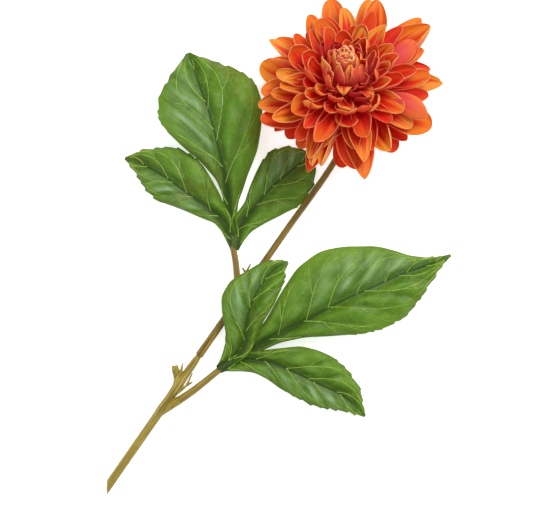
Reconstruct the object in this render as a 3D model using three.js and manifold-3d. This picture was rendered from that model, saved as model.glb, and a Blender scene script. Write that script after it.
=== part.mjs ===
// Cut dahlia: one open double bloom on a two-piece branched stem with two
// three-lobed leaves, lying on a flat surface.
//
// Units are millimetres and +Z is up. The origin is on the surface, under the
// middle of the flower's bounding box. Seen from above, the slanted cut end lies
// at the lower left and the stem runs up to the bloom at the upper right.
import * as THREE from "three";
import { mergeVertices } from "three/addons/utils/BufferGeometryUtils.js";
import Module from "manifold-3d";

const wasm = await Module();
wasm.setup();

const { degToRad, lerp, clamp } = THREE.MathUtils;
const vec = (x, y, z) => new THREE.Vector3(x, y, z);
const UP = vec(0, 0, 1);

// ---------------------------------------------------------------- dimensions
const SEAT_GAP = 0.3; // clearance between pieces that sit against each other
const SINK = 2; // how far a root is sunk into what it grows from

// Stem. Distances are measured along the stem from its cut end.
const STEM_FOOT = vec(-111.5, -155.7, 0); // middle of the cut end, on the surface
const STEM_HEADING = degToRad(55.1); // direction on the surface, from +X
const STEM_SIDES = 10; // a flat side faces down
const FOOT_RADIUS = 2.6;
const CUT_X = -111.8; // the plane of the slanted cut, across the X axis
const CUT_WASTE = 8; // length of stem drawn before the cut is made
const REST_LENGTH = 56; // stretch of the stem that lies flat on the surface
const LEAF_FORK = 61; // lower leaf
const STUB_FORK = 80; // empty side socket
const STUB_RADIUS = 1.9;
const JOINT = 103.5; // where the upper stem plugs onto the lower one
const UPPER_FORK = 148; // upper leaf
const NECK_START = 257; // where the neck starts to turn up into the bloom
const PEG_RADIUS = 1.2;
const PEG_LENGTH = 9;

// Bloom. Its own frame has +Z along the bloom's axis.
const BLOOM_CENTRE = vec(43.5, 100.5, 31);
const BLOOM_TILT = degToRad(20); // from upright, towards +Y
const RECEPTACLE_RADIUS = 13.4;
const RECEPTACLE_BOTTOM = -11;
const PETAL_THICKNESS = 1.1; // in the middle of a petal, thinning to its edge
const FLOOR_SOFTNESS = 1.6; // how gently a petal bends where it meets the surface
const HEART_RADIUS = 9.9;
const HEART_SEAT = vec(-0.8, 2, 9); // middle of its flat base, in the bloom's frame
const HEART_HEIGHT = 26;
const HEART_LEAN = 16; // degrees further over than the bloom, towards +Y
const HEART_SIDE_LEAN = 5; // degrees towards -X
const CALYX_BOTTOM = -21;

// Leaves.
const BLADE_THICKNESS = 0.9;
const STALK_RADIUS = 1.95;
const STALK_END_RADIUS = 1.75;
const SOCKET_WALL = 0.35; // how far a leaf's socket stands out round its stalk
const LEAF_SEAT_RADIUS = 9; // round the end of a stalk, where the leaf starts
const LEAF_SEAT_LENGTH = 14;

const COLOURS = {
  lowerStem: { color: 0x9a8238, roughness: 0.6 },
  upperStem: { color: 0x86631f, roughness: 0.6 },
  stalk: { color: 0x94752c, roughness: 0.6 },
  leaf: { color: 0x4c8432, roughness: 0.5 },
  calyx: { color: 0x5f8a3a, roughness: 0.55 },
  petals: { color: 0xdc4416, roughness: 0.6 },
  heart: { color: 0xdb7a35, roughness: 0.6 },
};

// ------------------------------------------------------------------- helpers
// Even spread from -1 to 1 that repeats each build: one value per piece and use.
function spread(index, use) {
  const step = index * 0.618034 + use * 0.754878 + 0.31;
  return 2 * (step - Math.floor(step)) - 1;
}

// Straight-line interpolation in a list of [position, value] pairs.
function profile(keys, at) {
  if (at <= keys[0][0]) return keys[0][1];
  for (let i = 1; i < keys.length; i++) {
    const [a, va] = keys[i - 1];
    const [b, vb] = keys[i];
    if (at <= b) return lerp(va, vb, (at - a) / (b - a));
  }
  return keys[keys.length - 1][1];
}

function solidFrom(points, triangles) {
  return new wasm.Manifold(
    new wasm.Mesh({
      numProp: 3,
      vertProperties: new Float32Array(points.flatMap((p) => p.toArray())),
      triVerts: new Uint32Array(triangles.flat()),
    }),
  );
}

function solidFromGeometry(geometry) {
  const bare = geometry.clone().deleteAttribute("normal").deleteAttribute("uv");
  const merged = mergeVertices(bare, 1e-4);
  return new wasm.Manifold(
    new wasm.Mesh({
      numProp: 3,
      vertProperties: merged.attributes.position.array,
      triVerts: new Uint32Array(merged.index.array),
    }),
  );
}

const joined = (solids) => solids.reduce((whole, solid) => whole.add(solid));

// Fills the tiny sealed pockets that crossing petals leave between them.
function withoutPockets(solid) {
  return joined(solid.decompose().filter((shell) => shell.volume() > 0));
}

function meshOf(name, solid, look) {
  const { vertProperties, triVerts, numProp, numVert } = solid.getMesh();
  const positions = new Float32Array(numVert * 3);
  for (let i = 0; i < numVert; i++) {
    positions.set(vertProperties.subarray(i * numProp, i * numProp + 3), i * 3);
  }
  const geometry = new THREE.BufferGeometry();
  geometry.setAttribute("position", new THREE.BufferAttribute(positions, 3));
  geometry.setIndex(new THREE.BufferAttribute(triVerts, 1));
  geometry.computeVertexNormals();
  const mesh = new THREE.Mesh(geometry, new THREE.MeshStandardMaterial({ metalness: 0, ...look }));
  mesh.name = name;
  return mesh;
}

// A round bar along a curve, with flat ends and a flat side facing down.
// radiusAt takes the share of the curve's length, from 0 to 1.
function bar(curve, radiusAt, rings, sides = STEM_SIDES) {
  const points = [];
  const triangles = [];
  for (let i = 0; i <= rings; i++) {
    const share = i / rings;
    const centre = curve.getPointAt(share);
    const along = curve.getTangentAt(share);
    const across = along.clone().cross(UP).normalize();
    const over = across.clone().cross(along);
    for (let k = 0; k < sides; k++) {
      const turn = ((k + 0.5) / sides) * 2 * Math.PI - Math.PI / 2;
      const radius = radiusAt(share);
      points.push(
        centre
          .clone()
          .addScaledVector(across, radius * Math.cos(turn))
          .addScaledVector(over, radius * Math.sin(turn)),
      );
    }
  }
  const at = (i, k) => i * sides + (k % sides);
  for (let i = 0; i < rings; i++) {
    for (let k = 0; k < sides; k++) {
      triangles.push([at(i, k), at(i + 1, k + 1), at(i, k + 1)]);
      triangles.push([at(i, k), at(i + 1, k), at(i + 1, k + 1)]);
    }
  }
  for (let k = 1; k < sides - 1; k++) {
    triangles.push([at(0, 0), at(0, k), at(0, k + 1)]);
    triangles.push([at(rings, 0), at(rings, k + 1), at(rings, k)]);
  }
  return solidFrom(points, triangles);
}

const curveThrough = (points) => new THREE.CatmullRomCurve3(points, false, "centripetal");

// A thin finger that tapers from one radius to another.
function finger(points, rootRadius, tipRadius, rings = 4, sides = 6) {
  return bar(curveThrough(points), (share) => lerp(rootRadius, tipRadius, share), rings, sides);
}

// ---------------------------------------------------------------------- stem
const heading = vec(Math.cos(STEM_HEADING), Math.sin(STEM_HEADING), 0);
const restHeight = FOOT_RADIUS * Math.cos(Math.PI / STEM_SIDES);

// Height of the stem's centre line above the surface.
const STEM_HEIGHTS = [
  [REST_LENGTH, restHeight],
  [LEAF_FORK, 2.95],
  [JOINT, 3.4],
  [UPPER_FORK, 4.2],
  [NECK_START, 6.4],
];

function stemPoint(distance, aside = 0, raise = 0) {
  const sideways = vec(-heading.y, heading.x, 0); // to the left of the heading
  return STEM_FOOT.clone()
    .addScaledVector(heading, distance)
    .addScaledVector(sideways, aside)
    .setZ(profile(STEM_HEIGHTS, distance) + raise);
}

const bloomFrame = new THREE.Matrix4()
  .makeRotationX(-BLOOM_TILT)
  .setPosition(BLOOM_CENTRE);
const onBloomAxis = (height) => vec(0, 0, height).applyMatrix4(bloomFrame);

const LOWER_STEM_RADII = [
  [REST_LENGTH, FOOT_RADIUS],
  [LEAF_FORK, 3],
  [LEAF_FORK + 8, 2.6],
  [STUB_FORK, 2.9],
  [STUB_FORK + 6, 2.5],
  [JOINT - 4, 2.3],
  [JOINT - 1, 1.7],
];

function lowerStem() {
  const length = JOINT - SEAT_GAP;
  const stations = [-CUT_WASTE, REST_LENGTH - 1, REST_LENGTH, LEAF_FORK, STUB_FORK, length];
  const line = curveThrough(stations.map((d) => stemPoint(d)));
  const radius = (share) => profile(LOWER_STEM_RADII, lerp(-CUT_WASTE, length, share));
  const shaft = bar(line, radius, 20);
  const peg = finger(
    [stemPoint(length - SINK), stemPoint(length + PEG_LENGTH)],
    PEG_RADIUS,
    PEG_RADIUS,
    1,
    8,
  );
  const branches = [leafSocket("lower"), ...emptySocket(), ...forkedSprig(LOWER_SPRIG)];
  return joined([shaft, peg, ...branches]).trimByPlane([1, 0, 0], CUT_X);
}

// The stub of a side shoot: three short lobes and one thin prong.
function emptySocket() {
  const root = stemPoint(STUB_FORK - 4, 0.5);
  const elbow = stemPoint(STUB_FORK + 2, 2.4);
  const lobe = (aside, ahead, raise, radius) =>
    finger([root, elbow, stemPoint(STUB_FORK + ahead, aside, raise)], STUB_RADIUS, radius);
  return [
    lobe(10.3, 8.7, 0.6, 1.15),
    lobe(8.5, 10.7, 1.6, 0.95),
    lobe(5.6, 9.6, -0.4, 0.9),
    finger([stemPoint(STUB_FORK + 3, 1), stemPoint(STUB_FORK + 14, 6.1, 0.8)], 0.9, 0.45),
  ];
}

// A slender twig that ends in two prongs.
function forkedSprig({ root, fork, prongs, radius }) {
  return [
    finger([root, root.clone().lerp(fork, 0.5), fork], radius, radius * 0.85),
    ...prongs.map((tip) => finger([fork, tip], radius * 0.85, radius * 0.45, 2)),
  ];
}

const LOWER_SPRIG = {
  root: stemPoint(LEAF_FORK + 9, -0.6, 1),
  fork: vec(-60.3, -90.2, 5.2),
  prongs: [vec(-56.2, -81.6, 6), vec(-56.1, -87.6, 4.8)],
  radius: 0.7,
};

const UPPER_SPRIG = {
  root: stemPoint(UPPER_FORK + 7, 1, 0),
  fork: vec(-21.8, -17.2, 5),
  prongs: [vec(-24.2, -13.6, 5.6), vec(-18.6, -10.9, 4.6)],
  radius: 0.8,
};

const UPPER_STEM_RADII = [
  [JOINT, 2.45],
  [JOINT + 3, 2.45],
  [JOINT + 12, 2.3],
  [UPPER_FORK - 10, 2.1],
  [UPPER_FORK, 2.5],
  [UPPER_FORK + 10, 2.05],
  [NECK_START, 1.95],
  [NECK_START + 35, 2.1],
  [NECK_START + 46, 2.5],
];

function neckLine() {
  const end = onBloomAxis(CALYX_BOTTOM - SEAT_GAP);
  const last = onBloomAxis(CALYX_BOTTOM - 5);
  const stations = [JOINT, UPPER_FORK, UPPER_FORK + 50, NECK_START];
  const turn = vec(42.4, 70, 7.6);
  return curveThrough([...stations.map((d) => stemPoint(d)), turn, last, end]);
}

function upperStem() {
  const line = neckLine();
  const span = line.getLength();
  const shaft = bar(line, (share) => profile(UPPER_STEM_RADII, JOINT + share * span), 30);
  const socket = finger(
    [stemPoint(JOINT - 3), stemPoint(JOINT + PEG_LENGTH + 1)],
    PEG_RADIUS + 2 * SEAT_GAP,
    PEG_RADIUS + 2 * SEAT_GAP,
    1,
    8,
  );
  return joined([shaft, leafSocket("upper"), ...forkedSprig(UPPER_SPRIG)]).subtract(socket);
}

// --------------------------------------------------------------- leaf stalks
// A stalk leaves a short socket on the stem and ends under the leaf's base.
const STALKS = {
  lower: {
    line: [
      stemPoint(LEAF_FORK - 3),
      vec(-70.5, -102.4, 3.6),
      vec(-57.8, -93.6, 4.3),
      vec(-39.6, -80.4, 5.4),
    ],
    socketLength: 17,
  },
  upper: {
    line: [
      stemPoint(UPPER_FORK),
      vec(-27.2, -24, 4.6),
      vec(-28.4, -10, 4.8),
      vec(-29.8, -1.6, 4.6),
    ],
    socketLength: 7,
  },
};

// The stretch of a stalk's line between two distances from its root.
function stalkStretch(which, from, to) {
  const line = curveThrough(STALKS[which].line);
  const span = line.getLength();
  const steps = 6;
  const points = [];
  for (let i = 0; i <= steps; i++) {
    const distance = lerp(from, to ?? span, i / steps);
    points.push(line.getPointAt(clamp(distance / span, 0, 1)));
  }
  return curveThrough(points);
}

function leafSocket(which) {
  const end = STALKS[which].socketLength;
  return bar(stalkStretch(which, 0, end), () => STALK_RADIUS + SOCKET_WALL, 5, 8);
}

function leafStalk(which) {
  const start = STALKS[which].socketLength + SEAT_GAP;
  return bar(stalkStretch(which, start), (share) => lerp(STALK_RADIUS, STALK_END_RADIUS, share), 8, 8);
}

// -------------------------------------------------------------------- leaves
// A lobe is drawn round its midrib: [x, y, z] points, then the half widths on
// the left and right of the midrib at the WIDTH_SHARES of its length. Its teeth
// start at the share toothedFrom. fold lifts both halves off the midrib, and
// droop lets their margins fall again.
const WIDTH_SHARES = [0, 0.08, 0.16, 0.25, 0.35, 0.45, 0.55, 0.65, 0.75, 0.85, 0.93, 1];
const widths = (...values) => values.map((width, i) => [WIDTH_SHARES[i], width]);

const LEAVES = {
  upper: {
    lobes: {
      middle: {
        midrib: [
          [-29, -2.2, 4.8], [-31, 12, 5.4], [-33.4, 27, 7], [-34.4, 38, 9.4],
          [-38, 57.5, 12.4], [-42.2, 74.5, 12.6], [-47, 91, 9.6], [-52, 104.5, 6],
          [-59.4, 125.6, 1.4],
        ],
        left: widths(2.6, 4.6, 3.2, 2.6, 5.5, 12.9, 22.2, 29.9, 33, 27, 15, 0.4),
        right: widths(2.6, 4.7, 4.7, 7.9, 15, 24.1, 30.2, 35, 34.6, 26, 13, 0.4),
        toothedFrom: 0.62,
        fold: 0.2,
        droop: 0.26,
      },
      left: {
        midrib: [
          [-29, -2.2, 4.8], [-31.6, 8.2, 5.6], [-37.4, 17.2, 7.6], [-45.2, 23.6, 9.6],
          [-55, 31, 10.6], [-74.5, 45.2, 8.6], [-84.2, 51, 5.4], [-92, 54.8, 2.8],
          [-100.4, 57.3, 0.9],
        ],
        left: widths(2.4, 4.5, 4.7, 5, 7.8, 10, 12.8, 16, 14.2, 10, 5.6, 0.4),
        right: widths(2.4, 2.9, 4.9, 7.6, 12.9, 17.3, 21, 21.9, 19.5, 13.1, 6.8, 0.4),
        toothedFrom: 0.55,
        fold: 0.18,
        droop: 0.3,
      },
      right: {
        midrib: [
          [-29, -2.2, 4.8], [-27.8, 7, 5], [-24.6, 15, 4.6], [-15.3, 26.3, 3.4],
          [-4.9, 38.7, 2.2], [7.5, 49.1, 1.4], [14.6, 54.9, 1], [21.1, 60.8, 0.9],
        ],
        left: widths(2.2, 2, 3.4, 6.2, 6.9, 10, 12.8, 16.6, 18.9, 16.1, 11, 0.4),
        right: widths(2.4, 5.5, 7.7, 9.7, 12.1, 16.3, 19.4, 21.4, 20.5, 16.5, 10.5, 0.4),
        toothedFrom: 0.6,
        fold: 0.05,
        droop: 0.03,
      },
    },
  },
  lower: {
    lobes: {
      middle: {
        midrib: [
          [-39.4, -79.8, 5.6], [-32.2, -74.4, 6.2], [-19.2, -67.3, 7.4], [-2.9, -58.2, 9.6],
          [16.6, -47.8, 11.4], [42.6, -34.1, 11.6], [58.8, -27, 9.6], [78.3, -18.5, 5.6],
          [97.8, -11.4, 2.4], [111.2, -5.5, 0.9],
        ],
        left: widths(2.6, 5.4, 5.9, 12, 23.2, 32.4, 35.2, 30.5, 23.4, 9.4, 3.8, 0.4),
        right: widths(2.6, 3.6, 3.9, 4.8, 9.4, 17.6, 25, 27.6, 26.6, 17.6, 6.4, 0.4),
        toothedFrom: 0.55,
        fold: 0.2,
        droop: 0.3,
      },
      left: {
        midrib: [
          [-39.4, -79.8, 5.6], [-33.4, -75.8, 6.6], [-25.4, -68, 8.4], [-22.4, -59.4, 9.8],
          [-19.8, -42.6, 12], [-14, -28.3, 12], [-7, -18.6, 10], [-0.3, -12.7, 7.6],
          [5.5, -10, 5.6],
        ],
        left: widths(2.6, 6.4, 10.6, 12, 13.2, 15.8, 20, 18.7, 12.6, 9, 4.6, 0.4),
        right: widths(2.4, 3.4, 4, 6.2, 7.4, 10.4, 12.6, 13.7, 12.9, 11.2, 8.2, 0.4),
        toothedFrom: 0.78,
        fold: 0.22,
        droop: 0.14,
      },
      right: {
        midrib: [
          [-39.4, -79.8, 5.6], [-34.4, -76.2, 6.2], [-22.4, -72.5, 7.2], [-6.2, -75, 8.6],
          [8.1, -80.6, 9], [23.1, -87.9, 8], [42.6, -97.8, 4.6], [55.6, -110.2, 0.9],
        ],
        left: widths(2.4, 3.8, 3.8, 5.5, 10.2, 16.8, 19.5, 20, 17.3, 11.4, 5.5, 0.4),
        right: widths(2.4, 6.4, 8.6, 9, 11.1, 13.7, 14.5, 14.4, 13.2, 9.6, 5.5, 0.4),
        toothedFrom: 0.5,
        fold: 0.16,
        droop: 0.24,
      },
    },
  },
};
const LOBE_ROWS = 18;
const LOBE_COLUMNS = 4;
const TOOTH_DEPTH = 2;
const RIB_ROOT_RADIUS = 1.75;
const RIB_TIP_RADIUS = 0.5;
const RIB_REACH = 0.78; // share of the lobe's length

// Midrib position and level sideways direction at a share of the lobe's length.
function midribFrame(lobe) {
  const line = curveThrough(lobe.midrib.map((p) => vec(...p)));
  return (share) => {
    const along = line.getTangentAt(share).setZ(0).normalize();
    return { point: line.getPointAt(share), left: vec(-along.y, along.x, 0), along };
  };
}

function lobeSolid(lobe) {
  const frame = midribFrame(lobe);
  const half = BLADE_THICKNESS / 2;
  const place = (row, column, lift) => {
    const share = row / LOBE_ROWS;
    const { point, left, along } = frame(share);
    const v = (2 * column) / LOBE_COLUMNS - 1; // -1 at the right margin, 1 at the left
    const width = profile(v > 0 ? lobe.left : lobe.right, share);
    const toothed = share >= lobe.toothedFrom && row < LOBE_ROWS && Math.abs(v) === 1;
    const tooth = toothed ? (row % 2 ? TOOTH_DEPTH : -TOOTH_DEPTH) * 0.5 : 0;
    const out = width * Math.abs(v) + tooth;
    const bend = lobe.fold * out - (lobe.droop * out * out) / Math.max(width, 1);
    const middle = point.clone().addScaledVector(left, out * Math.sign(v));
    middle.addScaledVector(along, tooth);
    middle.z = Math.max(point.z + bend, half);
    return middle.setZ(middle.z + lift);
  };
  const upper = (i, j) => place(i, j, half);
  const lower = (i, j) => place(i, j, -half);
  return gridSolid(LOBE_ROWS, LOBE_COLUMNS, upper, lower);
}

// A closed sheet from an upper and a lower grid of points.
function gridSolid(rows, columns, upper, lower) {
  const points = [];
  const triangles = [];
  const stride = columns + 1;
  const count = (rows + 1) * stride;
  for (const side of [upper, lower]) {
    for (let i = 0; i <= rows; i++) {
      for (let j = 0; j <= columns; j++) points.push(side(i, j));
    }
  }
  const at = (i, j) => i * stride + j;
  for (let i = 0; i < rows; i++) {
    for (let j = 0; j < columns; j++) {
      const [a, b, c, d] = [at(i, j), at(i + 1, j), at(i + 1, j + 1), at(i, j + 1)];
      triangles.push([a, b, c], [a, c, d]);
      triangles.push([count + a, count + c, count + b], [count + a, count + d, count + c]);
    }
  }
  const rim = [];
  for (let i = 0; i < rows; i++) rim.push(at(i, 0));
  for (let j = 0; j < columns; j++) rim.push(at(rows, j));
  for (let i = rows; i > 0; i--) rim.push(at(i, columns));
  for (let j = columns; j > 0; j--) rim.push(at(0, j));
  rim.forEach((a, k) => {
    const b = rim[(k + 1) % rim.length];
    triangles.push([a, count + b, b], [a, count + a, count + b]);
  });
  return solidFrom(points, triangles);
}

// The rib under a lobe, from the leaf's base to RIB_REACH.
function ribSolid(lobe) {
  const line = curveThrough(lobe.midrib.map((p) => vec(...p)));
  const steps = 8;
  const points = [];
  for (let i = 0; i <= steps; i++) {
    const share = (i / steps) * RIB_REACH;
    const radius = lerp(RIB_ROOT_RADIUS, RIB_TIP_RADIUS, i / steps);
    const point = line.getPointAt(share);
    points.push(point.setZ(Math.max(point.z - radius * 0.55, radius)));
  }
  return bar(curveThrough(points), (share) => lerp(RIB_ROOT_RADIUS, RIB_TIP_RADIUS, share), 7, 5);
}

// A leaf starts SEAT_GAP beyond the end of its stalk.
function leafBlade(which) {
  const lobes = Object.values(LEAVES[which].lobes);
  const blade = joined(lobes.flatMap((lobe) => [lobeSolid(lobe), ribSolid(lobe)]));
  const line = curveThrough(STALKS[which].line);
  const beyondStalk = (distance) => line.getPointAt(1).addScaledVector(line.getTangentAt(1), distance);
  const seat = curveThrough([beyondStalk(-LEAF_SEAT_LENGTH), beyondStalk(SEAT_GAP)]);
  return blade.subtract(bar(seat, () => LEAF_SEAT_RADIUS, 1, 8));
}

// --------------------------------------------------------------------- bloom
// The petals stand in whorls, listed from the lowest to the innermost. In each,
// root and tipHeight place the ends of a petal's midrib, as [radius, height] and
// height, lift is the slope at which it leaves the receptacle, and cup is half the
// angle that its cross-section spans. A petal is [azimuth, reach, half width]:
// its tip's direction and distance from the bloom's axis.
const WHORLS = [
  {
    root: [8, -9],
    tipHeight: -17,
    lift: -4,
    cup: 0.35,
    rows: 4,
    columns: 2,
    petals: evenRing(11, 12, 47, 9),
  },
  {
    root: [9.2, -7],
    tipHeight: -13,
    lift: 3,
    cup: 0.4,
    rows: 5,
    columns: 4,
    petals: [
      [7, 60, 8], [53, 72, 7.5], [70, 68, 9.5], [102, 62, 6.5], [105, 67, 6], [136, 60, 7.5],
      [165, 60, 9.5],
    ],
  },
  {
    root: [10.6, -4],
    tipHeight: -5,
    lift: 9,
    cup: 0.45,
    rows: 5,
    columns: 4,
    petals: [
      [12, 61, 8.5], [29, 56, 7], [40, 69, 10.5], [64, 65, 9.5], [98, 65, 8.5], [150, 59, 8],
      [177, 55, 8], [-167, 59, 8.5], [-148, 58, 10], [-118, 61, 7.5], [-105, 56, 7.5], [-92, 54, 9.5],
      [-81, 60, 9.5], [-53, 47, 8.5], [-33, 59, 11],
    ],
  },
  {
    root: [11.2, -1],
    tipHeight: 4,
    lift: 20,
    cup: 0.55,
    rows: 5,
    columns: 4,
    petals: [
      [3, 52, 8.5], [76, 52, 6.5], [84, 54, 6.5], [118, 48, 6], [125, 53, 8], [158, 52, 6],
      [-149, 57, 8.5], [-123, 57, 7], [-114, 60, 7.5], [-109, 44, 5.5], [-90, 43, 7.5], [-79, 55, 8],
      [-64, 45, 8.5], [-37, 49, 8],
    ],
  },
  {
    lean: 3,
    root: [11.6, 2],
    tipHeight: 13,
    lift: 24,
    cup: 0.7,
    rows: 5,
    columns: 4,
    petals: [
      [-166, 43, 7.5], [-150, 44, 8], [-113, 53, 7.5], [-97, 38, 7], [-35, 40, 9.5], [-22, 53, 8.5],
      [27, 50, 9], [58, 44, 6.5], [92, 37, 6.5], [110, 47, 8], [154, 45, 7], [175, 43, 5.5],
    ],
  },
  {
    lean: 6,
    root: [11.6, 4],
    tipHeight: 20,
    lift: 28,
    cup: 0.8,
    rows: 4,
    columns: 2,
    petals: [
      [-168, 33, 5.5], [-134, 35, 5.5], [-97, 31, 6.5], [-72, 29, 6.5], [-46, 30, 6.5], [-12, 36, 6],
      [22, 35, 6], [66, 33, 5], [94, 34, 5], [119, 35, 5.5], [151, 34, 6.5],
    ],
  },
  {
    lean: 10,
    root: [11.2, 5.2],
    tipHeight: 24,
    lift: 38,
    cup: 0.9,
    rows: 4,
    columns: 2,
    petals: [
      [-167, 30, 4.5], [-148, 26, 4], [-137, 38, 4.5], [-94, 28, 5.5], [-28, 28, 5], [-6, 26, 4.5],
      [12, 28, 4.5], [30, 23, 5.5], [63, 25, 5], [83, 25, 5], [108, 25, 4.5], [171, 31, 5],
    ],
  },
  {
    lean: 13,
    root: [10.6, 5.8],
    tipHeight: 27,
    lift: 48,
    cup: 0.85,
    rows: 4,
    columns: 2,
    petals: [
      [-78, 26, 5], [-53, 26, 4.5], [-116, 22, 4.5], [166, 20, 4.5], [-166, 19, 4], [47, 21, 4],
      [2, 21, 4.5], [130, 21, 4],
    ],
  },
];
// How far petals stray from their table, either way.
const REACH_JITTER = 0.4;
const HEIGHT_JITTER = 2;
const ROOT_JITTER = 0.7;
const LIFT_JITTER = 4; // degrees
const CUP_JITTER = 0.15; // share of the cup
const TWIST_JITTER = 0.25; // radians

const HEART_WRAPS = [
  {
    root: [HEART_RADIUS - 1.4, 0.6],
    tipHeight: HEART_HEIGHT - 3.5,
    lift: 82,
    cup: 0.75,
    rows: 4,
    columns: 2,
    petals: evenRing(7, 10, 5, 5.4),
  },
  {
    root: [HEART_RADIUS - 2.4, 2],
    tipHeight: HEART_HEIGHT - 0.5,
    lift: 84,
    cup: 0.75,
    rows: 4,
    columns: 2,
    petals: evenRing(6, 38, 3.2, 4.6),
  },
];
const BRACTS = {
  root: [6, -12.6],
  tipHeight: -19,
  lift: -2,
  cup: 0.4,
  rows: 4,
  columns: 2,
  petals: evenRing(8, 12, 20, 4.4),
};

const CLAW_SHARE = 0.3; // width of a petal's root as a share of its full width
const WIDEST_AT = 0.62;
const TIP_FULLNESS = 0.5; // 0.5 is an elliptical tip, and 1 a pointed one
const ROW_CROWDING = 1.5; // rows stand closer together towards the tip
const BOW = 0.5; // how far a midrib holds its first slope, as a share of its length

function evenRing(count, start, reach, halfWidth) {
  return Array.from({ length: count }, (_, i) => [start + (360 / count) * i, reach, halfWidth]);
}

function petalHalfWidth(petal, u) {
  const opening = Math.sin((Math.PI / 2) * Math.min(1, u / WIDEST_AT));
  const past = Math.max(0, (u - WIDEST_AT) / (1 - WIDEST_AT));
  const closing = Math.pow(Math.max(0, 1 - past ** 2.2), TIP_FULLNESS);
  return petal.halfWidth * lerp(CLAW_SHARE, 1, opening) * closing;
}

// Point of a petal's middle surface, and the direction of its upper side.
// u runs from root to tip and v from -1 to 1 across.
function petalPoint(petal, u, v) {
  const spine = petal.midrib.getPoint(u);
  const slope = petal.midrib.getTangent(u);
  const outward = vec(Math.cos(petal.azimuth), Math.sin(petal.azimuth), 0);
  const across = vec(-outward.y, outward.x, 0);
  const normal = outward.clone().multiplyScalar(-slope.y).setZ(slope.x);
  const twist = petal.twist * u;
  const lateral = across.clone().multiplyScalar(Math.cos(twist));
  lateral.addScaledVector(normal, Math.sin(twist));
  normal.multiplyScalar(Math.cos(twist)).addScaledVector(across, -Math.sin(twist));
  const width = petalHalfWidth(petal, u) / Math.sin(petal.cup);
  const point = outward.clone().multiplyScalar(spine.x).setZ(spine.y);
  point.addScaledVector(lateral, width * Math.sin(petal.cup * v));
  point.addScaledVector(normal, width * (1 - Math.cos(petal.cup * v)));
  return { point, normal };
}

// Petals do not pass through the surface: they bend flat where they meet it.
function keptAboveFloor(point, frame) {
  const world = point.clone().applyMatrix4(frame);
  const clearance = world.z - PETAL_THICKNESS / 2;
  const bent = (clearance + Math.hypot(clearance, FLOOR_SOFTNESS)) / 2;
  world.z = bent + PETAL_THICKNESS / 2;
  return world.applyMatrix4(frame.clone().invert());
}

// A closed petal whose two faces meet in a sharp margin.
function petalSolid(petal, rows, columns, frame) {
  const points = [];
  const index = new Map();
  const vertex = (i, j, side) => {
    const onMargin = i === 0 || i === rows || j === 0 || j === columns;
    const column = i === rows ? 0 : j;
    const key = [i, column, onMargin ? 0 : side].join();
    if (!index.has(key)) {
      const u = 1 - Math.pow(1 - i / rows, ROW_CROWDING);
      const v = i === rows ? 0 : (2 * j) / columns - 1;
      const { point, normal } = petalPoint(petal, u, v);
      const middle = frame ? keptAboveFloor(point, frame) : point;
      const half = onMargin ? 0 : (PETAL_THICKNESS / 2) * (1 - v * v * 0.6);
      index.set(key, points.push(middle.addScaledVector(normal, half * side)) - 1);
    }
    return index.get(key);
  };
  const triangles = [];
  for (const side of [1, -1]) {
    for (let i = 0; i < rows; i++) {
      for (let j = 0; j < columns; j++) {
        const a = vertex(i, j, side);
        const b = vertex(i + 1, j, side);
        const c = vertex(i + 1, j + 1, side);
        const d = vertex(i, j + 1, side);
        const facing = side > 0 ? (t) => t : ([p, q, r]) => [p, r, q];
        if (b !== c) triangles.push(facing([a, b, c]));
        triangles.push(facing([a, c, d]));
      }
    }
  }
  return solidFrom(points, triangles);
}

// The petals of one whorl, each a little different from its neighbours.
function petalSolids(whorl, whorlIndex, frame) {
  return whorl.petals.map(([azimuth, reach, halfWidth], i) => {
    const n = whorlIndex * 17 + i;
    const root = new THREE.Vector2(whorl.root[0], whorl.root[1] + ROOT_JITTER * spread(n, 1));
    const tip = new THREE.Vector2(reach + REACH_JITTER * spread(n, 2), whorl.tipHeight);
    tip.y += HEIGHT_JITTER * spread(n, 3);
    const lift = degToRad(whorl.lift + LIFT_JITTER * spread(n, 4));
    const bow = BOW * root.distanceTo(tip);
    const bend = new THREE.Vector2(Math.cos(lift), Math.sin(lift)).multiplyScalar(bow).add(root);
    const petal = {
      azimuth: degToRad(azimuth),
      midrib: new THREE.QuadraticBezierCurve(root, bend, tip),
      halfWidth,
      cup: whorl.cup * (1 + CUP_JITTER * spread(n, 5)),
      twist: TWIST_JITTER * spread(n, 6),
    };
    return petalSolid(petal, whorl.rows, whorl.columns, frame).rotate([-(whorl.lean ?? 0), 0, 0]);
  });
}

// A solid of revolution from [radius, height] pairs that start and end on the axis.
function turned(outline, sides) {
  const lathe = new THREE.LatheGeometry(outline.map(([x, y]) => new THREE.Vector2(x, y)), sides);
  return solidFromGeometry(lathe.rotateX(Math.PI / 2));
}

// The petals, on the dome that they grow from. It has a flat top for the heart
// and a flat underside for the calyx.
function bloomPetals() {
  const top = HEART_SEAT.z - SEAT_GAP;
  const receptacle = [
    [0, RECEPTACLE_BOTTOM], [7.5, RECEPTACLE_BOTTOM], [11.4, -8.5], [RECEPTACLE_RADIUS, -4],
    [RECEPTACLE_RADIUS, 2], [13, 5.5], [11.8, top], [0, top],
  ];
  const petals = WHORLS.flatMap((whorl, index) => petalSolids(whorl, index, bloomFrame));
  return withoutPockets(joined([turned(receptacle, 16), ...petals]));
}

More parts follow.
